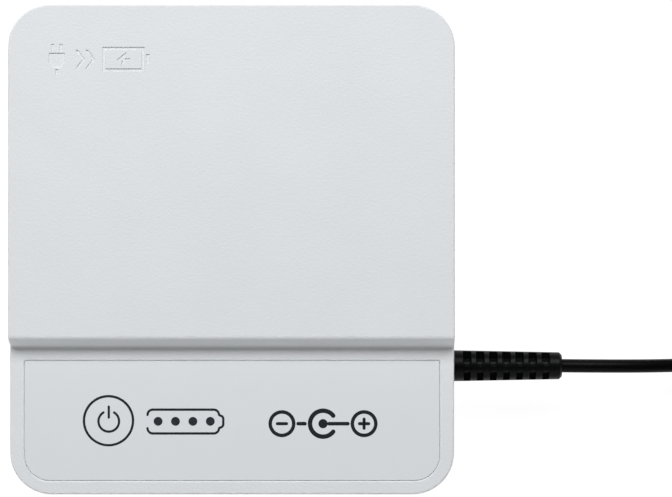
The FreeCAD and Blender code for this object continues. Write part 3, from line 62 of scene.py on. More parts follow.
def make_camera():
    """Looks straight down on the case, with the plain rear edge at the top of the picture."""
    data = bpy.data.cameras.new("camera")
    data.lens = CAMERA_LENS
    data.sensor_width = SENSOR_WIDTH
    data.clip_start = 0.05
    data.clip_end = 20.0
    camera = bpy.data.objects.new("camera", data)
    camera.location = CAMERA_PLACE
    bpy.context.scene.collection.objects.link(camera)
    bpy.context.scene.camera = camera


# ---------------------------------------------------------------- shared mesh helpers

def add_object(name, data, look, body="case"):
    """Links a new piece to the scene, on its body and with its material."""
    piece = bpy.data.objects.new(name, data)
    bpy.context.scene.collection.objects.link(piece)
    data.materials.append(LOOKS[look])
    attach(piece, body)
    return piece


def finish_mesh(name, mesh_maker, look, body="case"):
    """Turns a mesh under construction into a piece, with its faces turned outwards."""
    bmesh.ops.recalc_face_normals(mesh_maker, faces=mesh_maker.faces)
    data = bpy.data.meshes.new(name)
    mesh_maker.to_mesh(data)
    mesh_maker.free()
    return add_object(name, data, look, body)


def bridge(mesh_maker, loop, following):
    """A band of faces between two loops of as many points."""
    for place in range(len(loop)):
        beside = (place + 1) % len(loop)
        mesh_maker.faces.new((loop[place], loop[beside], following[beside], following[place]))


def middle_from_above(low, high):
    """The middle of a box in the XY plane."""
    return ((low.x + high.x) / 2.0, (low.y + high.y) / 2.0)


def smooth_step(share):
    """Rises from 0 to 1 with level ends."""
    share = min(max(share, 0.0), 1.0)
    return share * share * (3.0 - 2.0 * share)


def polar(centre, radius, degrees):
    """The point at a radius and an angle from a centre, in the XY plane."""
    angle = math.radians(degrees)
    return (centre[0] + radius * math.cos(angle), centre[1] + radius * math.sin(angle))


def arc(centre, radius, first, last, steps=10):
    """Points along an arc, from one angle to another in degrees."""
    return [polar(centre, radius, first + (last - first) * step / steps) for step in range(steps + 1)]


# ---------------------------------------------------------------- output lead

LEAD_DIAMETER = 0.00326
LEAD_ROUTE = (
    (0.07942, -0.02800, 0.0130),
    (0.09050, -0.02810, 0.0130),
    (0.10250, -0.02818, 0.0098),
    (0.11400, -0.02810, 0.0044),
    (0.12500, -0.02770, 0.0021),
    (0.13550, -0.02710, 0.0022),
)
COIL_CENTRE = (0.1355, -0.0052)
COIL_TURNS = (0.0219, 0.0186, 0.0153, 0.0153, 0.0186, 0.0219)
LOWER_TURNS = 3
COIL_LOW = 0.0022
COIL_HIGH = 0.0055
COIL_POINTS = 16
COIL_FIRST_ANGLE = -90.0
COIL_JOG = 0.25
CLIMB_NUDGE = 0.00125
TAIL_EXIT_ANGLE = 33.0
TAIL_STEPS = (
    (0.0000, 0.0000, 0.0055),
    (0.0065, -0.0002, 0.0052),
    (0.0130, 0.0002, 0.0032),
    (0.0195, 0.0001, 0.0031),
    (0.0255, 0.0000, 0.0050),
    (0.0310, 0.0000, 0.0050),
)


def coil_points():
    """Three turns that wind inwards on the floor, then a little over two that wind outwards on top of them.

    A quadratic spline runs inside its control points, so their radius is larger by that share.
    """
    spread = 1.0 / (0.75 + 0.25 * math.cos(2.0 * math.pi / COIL_POINTS))
    last_share = (TAIL_EXIT_ANGLE - COIL_FIRST_ANGLE) / 360.0
    points = []
    step = 1
    while step / COIL_POINTS < len(COIL_TURNS) - 1 + last_share:
        turn, place = divmod(step, COIL_POINTS)
        share = place / COIL_POINTS
        jog = smooth_step((share - 1.0 + COIL_JOG) / COIL_JOG)
        radius = COIL_TURNS[turn]
        height = COIL_LOW if turn < LOWER_TURNS else COIL_HIGH
        if jog > 0.0:
            radius += (COIL_TURNS[turn + 1] - radius) * jog
        if turn == LOWER_TURNS - 1:
            height += (COIL_HIGH - COIL_LOW) * jog
            radius -= CLIMB_NUDGE * math.sin(math.pi * jog)
        across, along = polar(COIL_CENTRE, radius * spread, COIL_FIRST_ANGLE + 360.0 * share)
        points.append((across, along, height))
        step += 1
    return points


def tail_points():
    """From the top of the coil along its tangent, down to the floor's level and up into the plug."""
    start = polar(COIL_CENTRE, COIL_TURNS[-1], TAIL_EXIT_ANGLE)
    outward = polar((0.0, 0.0), 1.0, TAIL_EXIT_ANGLE)
    forward = polar((0.0, 0.0), 1.0, TAIL_EXIT_ANGLE + 90.0)
    return [
        (
            start[0] + forward[0] * along + outward[0] * aside,
            start[1] + forward[1] * along + outward[1] * aside,
            height,
        )
        for along, aside, height in TAIL_STEPS
    ]


def make_lead():
    """The lead in one smooth curve: out of the strain relief, round the coil and into the plug."""
    data = bpy.data.curves.new("lead", "CURVE")
    data.dimensions = "3D"
    data.bevel_depth = LEAD_DIAMETER / 2.0
    data.bevel_resolution = 6
    data.use_fill_caps = True
    route = [*LEAD_ROUTE, *coil_points(), *tail_points()]
    spline = data.splines.new("NURBS")
    spline.points.add(len(route) - 1)
    for point, place in zip(spline.points, route):
        point.co = (*place, 1.0)
    spline.order_u = 3
    spline.use_endpoint_u = True
    spline.resolution_u = 8
    lead = add_object("lead", data, "lead_black")
    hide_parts("output_lead", "output_lead_coil", "output_lead_tail")
    tie = make_tie()


# ---------------------------------------------------------------- coil tie

TIE_THICKNESS = 0.0005
TIE_WIDTH = 0.0070
TIE_CORNER = 0.0021
TIE_LAP = 0.0062
TIE_LAP_LIFT = 1.08
TIE_LAP_PLACES = ((0.75, 0.0), (0.45, 0.0), (0.20, 0.0001))
TIE_SHOULDER = 0.0012
TIE_SHOULDER_DIP = 0.00002
TIE_TIP_WIDTHS = (0.72, 0.93)
TIE_CORNER_STEPS = 8
TIE_ACROSS = 10
TIE_EDGE_ROUND = 0.00012


def tie_path(low, high):
    """The strap's middle line in the XZ plane: once round the turns, then over its own start."""
    half = TIE_THICKNESS / 2.0
    left, right = low.x + half, high.x - half
    bottom, top = low.z + half, high.z - half
    corner = TIE_CORNER
    path = [(left + corner + TIE_LAP, top), (left + corner + TIE_LAP / 2.0, top)]
    path += arc((left + corner, top - corner), corner, 90.0, 180.0, TIE_CORNER_STEPS)
    path += arc((left + corner, bottom + corner), corner, 180.0, 270.0, TIE_CORNER_STEPS)
    path += arc((right - corner, bottom + corner), corner, 270.0, 360.0, TIE_CORNER_STEPS)
    path += arc((right - corner, top - corner), corner, 0.0, 80.0, TIE_CORNER_STEPS)
    lap = top + TIE_THICKNESS * TIE_LAP_LIFT
    path.append((right - corner - TIE_SHOULDER, lap - TIE_SHOULDER_DIP))
    path += [(left + corner + TIE_LAP * share, lap + lift) for share, lift in TIE_LAP_PLACES]
    return path


def make_tie():
    """A hook-and-loop strap round the coil, its free end lapped over on top with a rounded tip."""
    low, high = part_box("cord_tie")
    middle = (low.y + high.y) / 2.0
    path = tie_path(low, high)
    mesh_maker = bmesh.new()
    rows = []
    for place, (x, z) in enumerate(path):
        from_tip = len(path) - 1 - place
        share = TIE_TIP_WIDTHS[from_tip] if from_tip < len(TIE_TIP_WIDTHS) else 1.0
        half_width = TIE_WIDTH / 2.0 * share
        row = []
        for step in range(TIE_ACROSS + 1):
            y = middle + half_width * (2.0 * step / TIE_ACROSS - 1.0)
            row.append(mesh_maker.verts.new((x, y, z)))
        rows.append(row)
    for row, following in zip(rows, rows[1:]):
        for step in range(TIE_ACROSS):
            mesh_maker.faces.new((row[step], row[step + 1], following[step + 1], following[step]))
    tie = finish_mesh("strap", mesh_maker, "tie_fabric")
    thick = tie.modifiers.new("thickness", "SOLIDIFY")
    thick.thickness = TIE_THICKNESS
    thick.offset = 0.0
    rounding = tie.modifiers.new("soft_edges", "BEVEL")
    rounding.width = TIE_EDGE_ROUND
    rounding.segments = 2
    for face in tie.data.polygons:
        face.use_smooth = True
    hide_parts("cord_tie")
    return tie


# ---------------------------------------------------------------- printed marks

INK_HEIGHT = 0.00003
LINE = 0.00055
END_STEPS = 6
DISC_SIDES = 32
RING_SIDES = 128


def rounded_end(end, before, half):
    """Points and half widths of the half circle beyond a line's end, from its tip back to the end."""
    outward = (end - before).normalized()
    angles = [math.radians(90.0 * step / END_STEPS) for step in range(1, END_STEPS)]
    return [(end + outward * half * math.cos(angle), half * math.sin(angle)) for angle in angles]


def stroke_stations(path, width):
    """Points and half widths along an open line whose two ends are rounded."""
    half = width / 2.0
    points = [Vector(point) for point in path]
    start = rounded_end(points[0], points[1], half)
    finish = rounded_end(points[-1], points[-2], half)
    return start + [(point, half) for point in points] + finish[::-1]


def add_stroke(mesh_maker, path, width, bottom, closed=False):
    """One closed, flat ribbon of ink along a line."""
    if closed:
        stations = [(Vector(point), width / 2.0) for point in path]
    else:
        stations = stroke_stations(path, width)
    count = len(stations)
    rings = []
    for place, (point, half) in enumerate(stations):
        ahead = stations[(place + 1) % count if closed else min(place + 1, count - 1)][0]
        behind = stations[(place - 1) % count if closed else max(place - 1, 0)][0]
        along = (ahead - behind).normalized()
        side = Vector((-along.y, along.x)) * half
        ring = []
        for edge, height in ((side, 0.0), (-side, 0.0), (-side, INK_HEIGHT), (side, INK_HEIGHT)):
            ring.append(mesh_maker.verts.new((point.x + edge.x, point.y + edge.y, bottom + height)))
        rings.append(ring)
    pairs = list(zip(rings, rings[1:]))
    if closed:
        pairs.append((rings[-1], rings[0]))
    else:
        mesh_maker.faces.new(rings[0])
        mesh_maker.faces.new(rings[-1])
    for ring, following in pairs:
        bridge(mesh_maker, ring, following)


def add_disc(mesh_maker, centre, radius, bottom):
    """One closed, flat disc of ink."""
    rim = [polar(centre, radius, 360.0 * side / DISC_SIDES) for side in range(DISC_SIDES)]
    low = [mesh_maker.verts.new((*point, bottom)) for point in rim]
    high = [mesh_maker.verts.new((*point, bottom + INK_HEIGHT)) for point in rim]
    mesh_maker.faces.new(low)
    mesh_maker.faces.new(high)
    bridge(mesh_maker, low, high)


def add_ring(mesh_maker, centre, profile, top):
    """One closed ring whose section is a loop of radii and heights."""
    rings = []
    for side in range(RING_SIDES):
        ring = []
        for radius, height in profile:
            across, along = polar(centre, radius, 360.0 * side / RING_SIDES)
            ring.append(mesh_maker.verts.new((across, along, top + height)))
        rings.append(ring)
    for ring, following in zip(rings, rings[1:] + rings[:1]):
        bridge(mesh_maker, ring, following)


CAP_RADIUS = 0.0060
CAP_BEVEL = 0.00012
RING_INSIDE = 0.00557
RING_SKIRT = 0.0003
SYMBOL_SHIFT = (0.00007, -0.00014)
SYMBOL_RADIUS = 0.00246
SYMBOL_ARC = (121.0, 419.0)
SYMBOL_STEPS = 48
SYMBOL_BAR = (0.00350, 0.00090)


def make_button_marks():
    """The ring round the cap's bevelled edge and the on/off symbol in its middle."""
    low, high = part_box("power_button")
    centre = middle_from_above(low, high)
    outside = CAP_RADIUS + INK_HEIGHT
    turn = INK_HEIGHT * math.tan(math.radians(22.5))
    section = [
        (RING_INSIDE, 0.0),
        (RING_INSIDE, INK_HEIGHT),
        (CAP_RADIUS - CAP_BEVEL + turn, INK_HEIGHT),
        (outside, turn - CAP_BEVEL),
        (outside, -RING_SKIRT),
        (CAP_RADIUS, -RING_SKIRT),
        (CAP_RADIUS, -CAP_BEVEL),
        (CAP_RADIUS - CAP_BEVEL, 0.0),
    ]
    ring = bmesh.new()
    add_ring(ring, centre, section, high.z)
    finish_mesh("button_ring", ring, "print_ink", "button")
    symbol = bmesh.new()
    middle = (centre[0] + SYMBOL_SHIFT[0], centre[1] + SYMBOL_SHIFT[1])
    bar = [(middle[0], middle[1] + reach) for reach in SYMBOL_BAR]
    add_stroke(symbol, arc(middle, SYMBOL_RADIUS, *SYMBOL_ARC, SYMBOL_STEPS), LINE, high.z)
    add_stroke(symbol, bar, LINE, high.z)
    finish_mesh("power_symbol", symbol, "print_ink", "button")


BATTERY_SHIFT = (-0.00022, -0.00004)
BATTERY_HALF = 0.00284
BATTERY_CORNER = 0.00125
NUB_HALF = 0.00142
NUB_CORNER = 0.00080
NUB_LENGTH = 0.00102


def make_battery_mark():
    """A battery's outline round the four lamps, open at its flat end."""
    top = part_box("front_panel")[1].z
    lamps_low, lamps_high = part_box("light_guide")
    middle = (lamps_low.y + lamps_high.y) / 2.0 + BATTERY_SHIFT[1]
    left, right = lamps_low.x + BATTERY_SHIFT[0], lamps_high.x + BATTERY_SHIFT[0]
    bend = middle + BATTERY_HALF - BATTERY_CORNER
    upper = [(left, bend)]
    upper += arc((left + BATTERY_CORNER, bend), BATTERY_CORNER, 175.0, 90.0)
    upper += arc((right - BATTERY_CORNER, bend), BATTERY_CORNER, 90.0, 0.0)
    nub_corner = (right + NUB_LENGTH - NUB_CORNER, middle + NUB_HALF - NUB_CORNER)
    upper += arc(nub_corner, NUB_CORNER, 80.0, 0.0)
    lower = [(x, 2.0 * middle - y) for x, y in reversed(upper)]
    outline = bmesh.new()
    add_stroke(outline, upper + lower, LINE, top)
    finish_mesh("battery_outline", outline, "print_ink")


POLARITY_CENTRE = (0.0217, -0.0414)
POLARITY_REACH = 0.0098
POLARITY_LINE = 0.00105
END_RING = 0.0028
END_RING_SIDES = 48
END_RING_LINE = POLARITY_LINE * 0.8
SIGN_LINE = POLARITY_LINE * 0.7
SIGN_HALF = 0.0011
SIGN_GAP = 0.00045
SLEEVE_RADIUS = 0.0031
SLEEVE_ARC = (38.0, 322.0)
SLEEVE_STEPS = 40
SLEEVE_CLEAR = 0.0043
PIN_RADIUS = 0.0011
PIN_CLEAR = 0.0014


def make_polarity_mark():
    """The centre-positive symbol of a barrel plug: a ring for minus, the plug's section, a ring for plus."""
    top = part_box("front_panel")[1].z
    middle, level = POLARITY_CENTRE
    minus, plus = middle - POLARITY_REACH, middle + POLARITY_REACH
    mark = bmesh.new()
    for end in (minus, plus):
        last_angle = 360.0 * (END_RING_SIDES - 1) / END_RING_SIDES
        around = arc((end, level), END_RING, 0.0, last_angle, END_RING_SIDES - 1)
        add_stroke(mark, around, END_RING_LINE, top, closed=True)
        add_stroke(mark, [(end - SIGN_HALF, level), (end + SIGN_HALF, level)], SIGN_LINE, top)
    for sign in (-1.0, 1.0):
        add_stroke(mark, [(plus, level + sign * SIGN_GAP), (plus, level + sign * SIGN_HALF)], SIGN_LINE, top)
    sleeve = arc(POLARITY_CENTRE, SLEEVE_RADIUS, *SLEEVE_ARC, SLEEVE_STEPS)
    add_stroke(mark, sleeve, POLARITY_LINE, top)
    to_minus = [(minus + END_RING + POLARITY_LINE, level), (middle - SLEEVE_CLEAR, level)]
    to_plus = [(middle + PIN_CLEAR, level), (plus - END_RING - POLARITY_LINE, level)]
    add_stroke(mark, to_minus, END_RING_LINE, top)
    add_stroke(mark, to_plus, END_RING_LINE, top)
    add_disc(mark, POLARITY_CENTRE, PIN_RADIUS, top)
    finish_mesh("polarity_symbol", mark, "print_ink")


# ---------------------------------------------------------------- snap dome

# Each surface of the dome is part of a sphere: the sphere's radius, then the rim's.
DOME_OUTSIDE = (0.0034, 0.0025)
DOME_INSIDE = (0.0032, 0.002245)
DOME_STEPS = 6
DOME_SIDES = 48


def add_dome_surface(mesh_maker, centre, middle, radius, rim):
    """One cap of a sphere, from its pole out to its rim, whose points are handed back."""
    tilt = math.asin(rim / radius)
    rings = []
    for step in range(1, DOME_STEPS + 1):
        angle = tilt * step / DOME_STEPS
        height = middle + radius * math.cos(angle)
        turns = [360.0 * side / DOME_SIDES for side in range(DOME_SIDES)]
        around = [polar(centre, radius * math.sin(angle), turn) for turn in turns]
        rings.append([mesh_maker.verts.new((*point, height)) for point in around])
    pole = mesh_maker.verts.new((*centre, middle + radius))
    for side in range(DOME_SIDES):
        mesh_maker.faces.new((pole, rings[0][side - 1], rings[0][side]))
        for ring, following in zip(rings, rings[1:]):
            mesh_maker.faces.new((ring[side - 1], ring[side], following[side], following[side - 1]))
    return rings[-1]


def make_switch_dome():
    """The snap dome under the button's plunger, a thin cap in its resting shape."""
    low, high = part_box("switch_dome")
    centre = middle_from_above(low, high)
    middle = high.z - DOME_OUTSIDE[0]
    dome = bmesh.new()
    outer = add_dome_surface(dome, centre, middle, *DOME_OUTSIDE)
    inner = add_dome_surface(dome, centre, middle, *DOME_INSIDE)
    for side in range(DOME_SIDES):
        dome.faces.new((outer[side - 1], outer[side], inner[side], inner[side - 1]))
    piece = finish_mesh("snap_dome", dome, "spring_steel")
    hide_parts("switch_dome")
    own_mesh(piece)


# ---------------------------------------------------------------- materials

BANDS_PER_UNIT = 20.0


class Look:
    """A material under construction: a principled shader and the texture nodes that feed it."""

    def __init__(self, name, roughness, metallic=0.0, specular=0.5):
        self.material = bpy.data.materials.new(name)
        self.material.use_nodes = True
        self.nodes = self.material.node_tree.nodes
        self.links = self.material.node_tree.links
        self.shader = self.nodes["Principled BSDF"]
        self.shader.inputs["Metallic"].default_value = metallic
        self.shader.inputs["Specular IOR Level"].default_value = specular
        self.shader.inputs["Roughness"].default_value = roughness
        self.place = self.nodes.new("ShaderNodeTexCoord").outputs["Object"]

    def stretched(self, scale):
        """The place on the object, stretched along its axes."""
        mapping = self.nodes.new("ShaderNodeMapping")
        mapping.inputs["Scale"].default_value = scale
        self.links.new(self.place, mapping.inputs["Vector"])
        return mapping.outputs["Vector"]

    def noise(self, size, detail=2.0, place=None):
        """Cloudy noise whose features are about this size, in metres."""
        node = self.nodes.new("ShaderNodeTexNoise")
        node.inputs["Scale"].default_value = 1.0 / size
        node.inputs["Detail"].default_value = detail
        self.links.new(place or self.place, node.inputs["Vector"])
        return node.outputs["Fac"]

    def cells(self, size, feature="F1"):
        """Distance to the nearest of many points about this far apart, in metres, or to a cell's edge."""
        node = self.nodes.new("ShaderNodeTexVoronoi")
        node.feature = feature
        node.inputs["Scale"].default_value = 1.0 / size
        self.links.new(self.place, node.inputs["Vector"])
        return node.outputs["Distance"]

    def waves(self, size, direction):
        """Even bands across one axis, in metres."""
        node = self.nodes.new("ShaderNodeTexWave")
        node.bands_direction = direction
        node.inputs["Scale"].default_value = 1.0 / (size * BANDS_PER_UNIT)
        self.links.new(self.place, node.inputs["Vector"])
        return node.outputs["Fac"]

    def product(self, first, second):
        """Two textures multiplied together."""
        node = self.nodes.new("ShaderNodeMath")
        node.operation = "MULTIPLY"
        self.links.new(first, node.inputs[0])
        self.links.new(second, node.inputs[1])
        return node.outputs["Value"]

    def colours(self, factor, dark, light, start=0.3, end=0.7):
        """A texture turned into a run between two colours."""
        ramp = self.nodes.new("ShaderNodeValToRGB")
        ramp.color_ramp.elements[0].position = start
        ramp.color_ramp.elements[1].position = end
        ramp.color_ramp.elements[0].color = (*dark, 1.0)
        ramp.color_ramp.elements[1].color = (*light, 1.0)
        self.links.new(factor, ramp.inputs["Fac"])
        return ramp.outputs["Color"]

    def paint(self, colour):
        """Feeds the base colour."""
        self.links.new(colour, self.shader.inputs["Base Color"])

    def mottle(self, colour, spread, size):
        """The base colour with a soft, uneven tone."""
        dark = [channel * (1.0 - spread) for channel in colour]
        light = [min(channel * (1.0 + spread), 1.0) for channel in colour]
        self.paint(self.colours(self.noise(size, detail=3.0), dark, light))

    def vary_roughness(self, factor, low, high):
        """Roughness between two values, by a texture."""
        ramp = self.nodes.new("ShaderNodeMapRange")
        ramp.inputs["To Min"].default_value = low
        ramp.inputs["To Max"].default_value = high
        self.links.new(factor, ramp.inputs["Value"])
        self.links.new(ramp.outputs["Result"], self.shader.inputs["Roughness"])

    def round_edges(self, radius):
        """Shades sharp edges as if they were rounded off by this radius, in metres."""
        node = self.nodes.new("ShaderNodeBevel")
        node.samples = 6
        node.inputs["Radius"].default_value = radius
        self.links.new(node.outputs["Normal"], self.shader.inputs["Normal"])

    def bump(self, height, depth, strength=1.0):
        """Raises the surface by a texture, this deep in metres, over any earlier bump."""
        node = self.nodes.new("ShaderNodeBump")
        node.inputs["Strength"].default_value = strength
        node.inputs["Distance"].default_value = depth
        self.links.new(height, node.inputs["Height"])
        earlier = self.shader.inputs["Normal"].links
        if earlier:
            self.links.new(earlier[0].from_socket, node.inputs["Normal"])
        self.links.new(node.outputs["Normal"], self.shader.inputs["Normal"])


MOULDED_CLOUD = 0.012
MOULDED_GLOSS_PATCH = 6.0
MOULDED_GLOSS_SWING = 0.06
RUBBER_STREAK = 0.0012
RUBBER_TONES = (0.75, 1.35)
RUBBER_EDGE = 0.00025
RUBBER_STREAK_DEPTH = 0.6
RUBBER_GLOSS_PATCH = 4.0
RUBBER_GLOSS_SWING = 0.07
METAL_TARNISH = 0.002
METAL_MARK = 0.0003
METAL_MARK_DEPTH = 0.000002
METAL_GLOSS_SWING = (0.08, 0.12)


def moulded(name, colour, roughness, grain, depth, mottle, specular=0.5):
    """Moulded plastic: an eroded grain, a faint mottle and uneven gloss."""
    look = Look(name, roughness, specular=specular)
    look.mottle(colour, mottle, MOULDED_CLOUD)
    look.bump(look.noise(grain, detail=3.0), depth)
    patches = look.noise(grain * MOULDED_GLOSS_PATCH)
    look.vary_roughness(patches, roughness - MOULDED_GLOSS_SWING, roughness + MOULDED_GLOSS_SWING)
    return look.material


def rubbery(name, colour, roughness, grain, depth, streak=(1.0, 1.0, 1.0), specular=0.12):
    """Soft black plastic or rubber: fine grain, flow streaks and softened edges."""
    look = Look(name, roughness, specular=specular)
    dark, light = [[channel * tone for channel in colour] for tone in RUBBER_TONES]
    flow = look.noise(RUBBER_STREAK, detail=3.0, place=look.stretched(streak))
    look.paint(look.colours(flow, dark, light))
    look.round_edges(RUBBER_EDGE)
    look.bump(look.noise(grain, detail=3.0), depth)
    look.bump(flow, depth * RUBBER_STREAK_DEPTH)
    patches = look.noise(grain * RUBBER_GLOSS_PATCH)
    look.vary_roughness(patches, roughness - RUBBER_GLOSS_SWING, roughness + RUBBER_GLOSS_SWING)
    return look.material


def metal(name, colour, roughness, streak=(1.0, 1.0, 1.0)):
    """Plated or bare metal with fine tool marks and a little tarnish."""
    look = Look(name, roughness, metallic=1.0)
    look.mottle(colour, 0.07, METAL_TARNISH)
    marks = look.noise(METAL_MARK, detail=4.0, place=look.stretched(streak))
    look.bump(marks, METAL_MARK_DEPTH)
    look.vary_roughness(marks, roughness - METAL_GLOSS_SWING[0], roughness + METAL_GLOSS_SWING[1])
    return look.material


def case_white():
    """The covers' spark-eroded grain, over a very slight waviness."""
    look = Look("case_white", 0.55, specular=0.35)
    look.mottle((0.796, 0.813, 0.829), spread=0.012, size=0.020)
    look.bump(look.noise(0.00055, detail=2.5), depth=0.00008)
    look.bump(look.noise(0.004, detail=1.0), depth=0.00003)
    look.vary_roughness(look.noise(0.0012), low=0.48, high=0.62)
    return look.material


def smoked_lens():
    """Dark resin under a clear, polished skin."""
    look = Look("smoked_lens", 0.22)
    look.mottle((0.030, 0.036, 0.042), spread=0.25, size=0.0009)
    look.bump(look.noise(0.0004, detail=1.0), depth=0.000003)
    look.shader.inputs["Coat Weight"].default_value = 0.3
    look.shader.inputs["Coat Roughness"].default_value = 0.15
    return look.material


def print_ink():
    """Pad-printed ink: matte, slightly uneven in density."""
    look = Look("print_ink", 0.5, specular=0.25)
    look.mottle((0.0105, 0.0160, 0.0200), spread=0.18, size=0.0008)
    look.bump(look.noise(0.0002), depth=0.000004)
    return look.material


def tie_fabric():
    """Woven tape: threads over and under, with painted shade in the hollows between threads and a fuzzy
    sheen.
    """
    look = Look("tie_fabric", 0.9, specular=0.2)
    weave_and_thread_shade = look.product(look.waves(0.00055, "Y"), look.waves(0.00055, "X"))
    # Painted shade: the black tape is darker where the weave is low, between the threads.
    look.paint(look.colours(weave_and_thread_shade, (0.008, 0.008, 0.009), (0.045, 0.045, 0.048), start=0.1, end=0.8))
    look.bump(weave_and_thread_shade, depth=0.00012)
    look.bump(look.noise(0.00018, detail=3.0), depth=0.00005)
    look.shader.inputs["Sheen Weight"].default_value = 0.3
    look.shader.inputs["Sheen Roughness"].default_value = 0.5
    return look.material


def board_laminate():
    """Solder mask over copper: darker laminate between slightly raised tracks."""
    look = Look("board_laminate", 0.32)
    tracks = look.cells(0.0030, "DISTANCE_TO_EDGE")
    look.paint(look.colours(tracks, (0.030, 0.230, 0.110), (0.012, 0.120, 0.055), start=0.05, end=0.09))
    look.bump(tracks, depth=0.00003, strength=0.4)
    look.vary_roughness(look.noise(0.004), low=0.25, high=0.4)
    return look.material


def copper_winding():
    """Enamelled wire, turn beside turn, with painted shade in the grooves between the turns."""
    look = Look("copper", 0.3, metallic=1.0)
    turns = look.waves(0.0007, "Z")
    # Painted shade: the wire's colour is darker where the wave is low, in the grooves between turns.
    look.paint(look.colours(turns, (0.22, 0.07, 0.03), (0.72, 0.33, 0.14), start=0.1, end=0.6))
    look.bump(turns, depth=0.0003)
    return look.material


def foam_grey():
    """Open cells, with painted shade darkening each pore."""
    look = Look("foam_grey", 0.95, specular=0.1)
    pores_and_pore_shade = look.cells(0.0007)
    # Painted shade: the grey is darker at the middle of each cell, where its pore is deepest.
    look.paint(look.colours(pores_and_pore_shade, (0.07, 0.07, 0.075), (0.26, 0.26, 0.27), start=0.1, end=0.6))
    look.bump(pores_and_pore_shade, depth=0.0003)
    return look.material


def label_film():
    """Blank matte film, finely brushed."""
    look = Look("label_film", 0.42)
    look.mottle((0.62, 0.64, 0.66), spread=0.03, size=0.006)
    look.bump(look.noise(0.0004, place=look.stretched((0.15, 1.0, 1.0))), depth=0.000012)
    look.vary_roughness(look.noise(0.005), low=0.34, high=0.5)
    return look.material


def cell_sleeve():
    """Shrink sleeve: glossy film with fine wrinkles along the cell."""
    look = Look("cell_sleeve", 0.3)
    look.mottle((0.05, 0.22, 0.42), spread=0.12, size=0.006)
    look.bump(look.noise(0.0015, place=look.stretched((0.25, 1.0, 1.0))), depth=0.00008)
    look.vary_roughness(look.noise(0.003), low=0.22, high=0.38)
    return look.material


def relief_black():
    """Flexible PVC moulding with fine streaks across its ribs."""
    colour = (0.0017, 0.0018, 0.0020)
    across = (1.0, 0.22, 1.0)
    return rubbery("relief_black", colour, 0.38, grain=0.0004, depth=0.00003, streak=across, specular=0.095)


def lead_black():
    """Extruded PVC jacket, streaked along its length."""
    colour = (0.0012, 0.0012, 0.0013)
    along = (0.2, 1.0, 1.0)
    return rubbery("lead_black", colour, 0.42, grain=0.0005, depth=0.00001, streak=along, specular=0.078)


def slot_name(material):
    """A material's slot: its name without the number that Blender adds to a repeated one."""
    return material.name.split(".")[0]


PANEL_GREY = (0.784, 0.804, 0.822)
FINISHES = (
    case_white(),
    moulded("panel_white", PANEL_GREY, 0.46, grain=0.0009, depth=0.00001, mottle=0.006, specular=0.35),
    moulded("button_white", PANEL_GREY, 0.46, grain=0.0009, depth=0.00001, mottle=0.006, specular=0.35),
    smoked_lens(),
    print_ink(),
    relief_black(),
    lead_black(),
    rubbery("plug_black", (0.0030, 0.0030, 0.0033), 0.40, grain=0.0004, depth=0.00003),
    tie_fabric(),
    rubbery("foot_rubber", (0.035, 0.035, 0.037), 0.75, grain=0.0005, depth=0.00006, specular=0.3),
    metal("screw_steel", (0.60, 0.60, 0.61), 0.30, streak=(1.0, 0.1, 1.0)),
    label_film(),
    moulded("connector_black", (0.018, 0.018, 0.020), 0.36, grain=0.0005, depth=0.00001, mottle=0.15),
    moulded("connector_white", (0.70, 0.67, 0.58), 0.45, grain=0.0006, depth=0.00001, mottle=0.04),
    metal("nickel", (0.74, 0.72, 0.68), 0.18, streak=(1.0, 1.0, 0.1)),
    metal("contact_brass", (0.78, 0.58, 0.26), 0.26),
    board_laminate(),
    moulded("chip_resin", (0.026, 0.026, 0.029), 0.62, grain=0.0003, depth=0.00002, mottle=0.2),
    moulded("lamp_resin", (0.72, 0.72, 0.58), 0.25, grain=0.0004, depth=0.00001, mottle=0.05),
    metal("spring_steel", (0.62, 0.60, 0.56), 0.25, streak=(0.15, 1.0, 1.0)),
    moulded("ferrite", (0.055, 0.055, 0.060), 0.75, grain=0.0004, depth=0.00008, mottle=0.25),
    copper_winding(),
    metal("can_aluminium", (0.74, 0.75, 0.76), 0.34, streak=(1.0, 1.0, 0.2)),
    moulded("fuse_ceramic", (0.60, 0.50, 0.36), 0.55, grain=0.0003, depth=0.00002, mottle=0.08),
    cell_sleeve(),
    moulded("cradle_plastic", (0.085, 0.085, 0.092), 0.5, grain=0.0005, depth=0.00003, mottle=0.1),
    foam_grey(),
    moulded("barrier_film", (0.22, 0.40, 0.34), 0.5, grain=0.0009, depth=0.00003, mottle=0.12),
    moulded("wire_red", (0.42, 0.02, 0.02), 0.35, grain=0.0006, depth=0.00001, mottle=0.12),
    moulded("wire_black", (0.016, 0.016, 0.017), 0.35, grain=0.0006, depth=0.00001, mottle=0.15),
)
LOOKS = {slot_name(finish): finish for finish in FINISHES}


def dress_cad_nodes():
    """Gives each node that stays the finish of its own material slot."""
    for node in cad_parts.values():
        for place, material in enumerate(node.data.materials):
            node.data.materials[place] = LOOKS[slot_name(material)]


# ---------------------------------------------------------------- floor and light

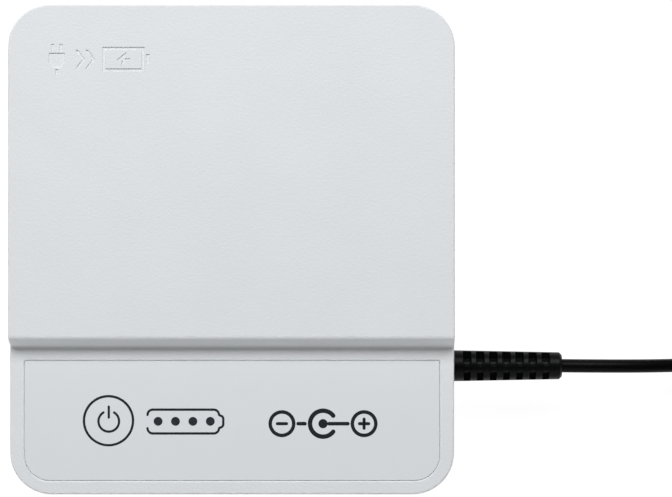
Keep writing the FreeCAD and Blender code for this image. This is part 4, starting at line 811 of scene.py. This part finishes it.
KEY_PLACE = (-0.04, 0.623, 0.717)
KEY_TARGET = (0.01, 0.05, 0.028)
KEY_SIZE = (1.28, 0.44)
KEY_SPREAD = 120.0
KEY_POWER = 5.45
FILL_PLACE = (-0.10, -1.25, 0.72)
FILL_TARGET = (0.0, 0.0, 0.02)
FILL_SIZE = (1.6, 1.2)
FILL_SPREAD = 180.0
FILL_POWER = 7.5
LIGHT_COLOUR = (0.990, 0.996, 1.0)
SURROUND_GREY = (0.030, 0.031, 0.032)
FLOOR_HALF = 6.0
FLOOR_HEIGHT = -0.00005
FLOOR_GREY = (0.16, 0.16, 0.16)
FLOOR_GLOW = 0.93


def make_floor():
    """A plain white sweep that glows a little, so that it stays even and nearly free of shadow."""
    data = bpy.data.meshes.new("floor")
    signs = ((-1, -1), (1, -1), (1, 1), (-1, 1))
    corners = [(FLOOR_HALF * across, FLOOR_HALF * along, FLOOR_HEIGHT) for across, along in signs]
    data.from_pydata(corners, [], [(0, 1, 2, 3)])
    floor = bpy.data.objects.new("floor", data)
    bpy.context.scene.collection.objects.link(floor)
    look = Look("floor", 0.95, specular=0.0)
    look.mottle(FLOOR_GREY, spread=0.02, size=0.08)
    look.shader.inputs["Emission Color"].default_value = (1.0, 1.0, 1.0, 1.0)
    look.shader.inputs["Emission Strength"].default_value = FLOOR_GLOW
    data.materials.append(look.material)


def add_area_light(name, place, target, size, spread, power):
    """A soft oblong lamp that faces a point, its beam narrowed to an angle in degrees."""
    data = bpy.data.lights.new(name, "AREA")
    data.shape = "RECTANGLE"
    data.size, data.size_y = size
    data.spread = math.radians(spread)
    data.energy = power
    data.color = LIGHT_COLOUR
    lamp = bpy.data.objects.new(name, data)
    lamp.location = place
    lamp.rotation_euler = (Vector(target) - Vector(place)).to_track_quat("-Z", "Y").to_euler()
    lamp.visible_camera = False
    bpy.context.scene.collection.objects.link(lamp)


def make_light():
    """A wide strip softbox behind the case, a broad, low fill in front of it, and a very dim surround."""
    add_area_light("key", KEY_PLACE, KEY_TARGET, KEY_SIZE, KEY_SPREAD, KEY_POWER)
    add_area_light("fill", FILL_PLACE, FILL_TARGET, FILL_SIZE, FILL_SPREAD, FILL_POWER)
    world = bpy.data.worlds.new("surround")
    world.use_nodes = True
    world.node_tree.nodes["Background"].inputs["Color"].default_value = (*SURROUND_GREY, 1.0)
    bpy.context.scene.world = world
    bpy.context.scene.view_settings.view_transform = "Standard"


make_camera()
make_lead()
dress_cad_nodes()
make_switch_dome()
make_button_marks()
make_battery_mark()
make_polarity_mark()
make_floor()
make_light()
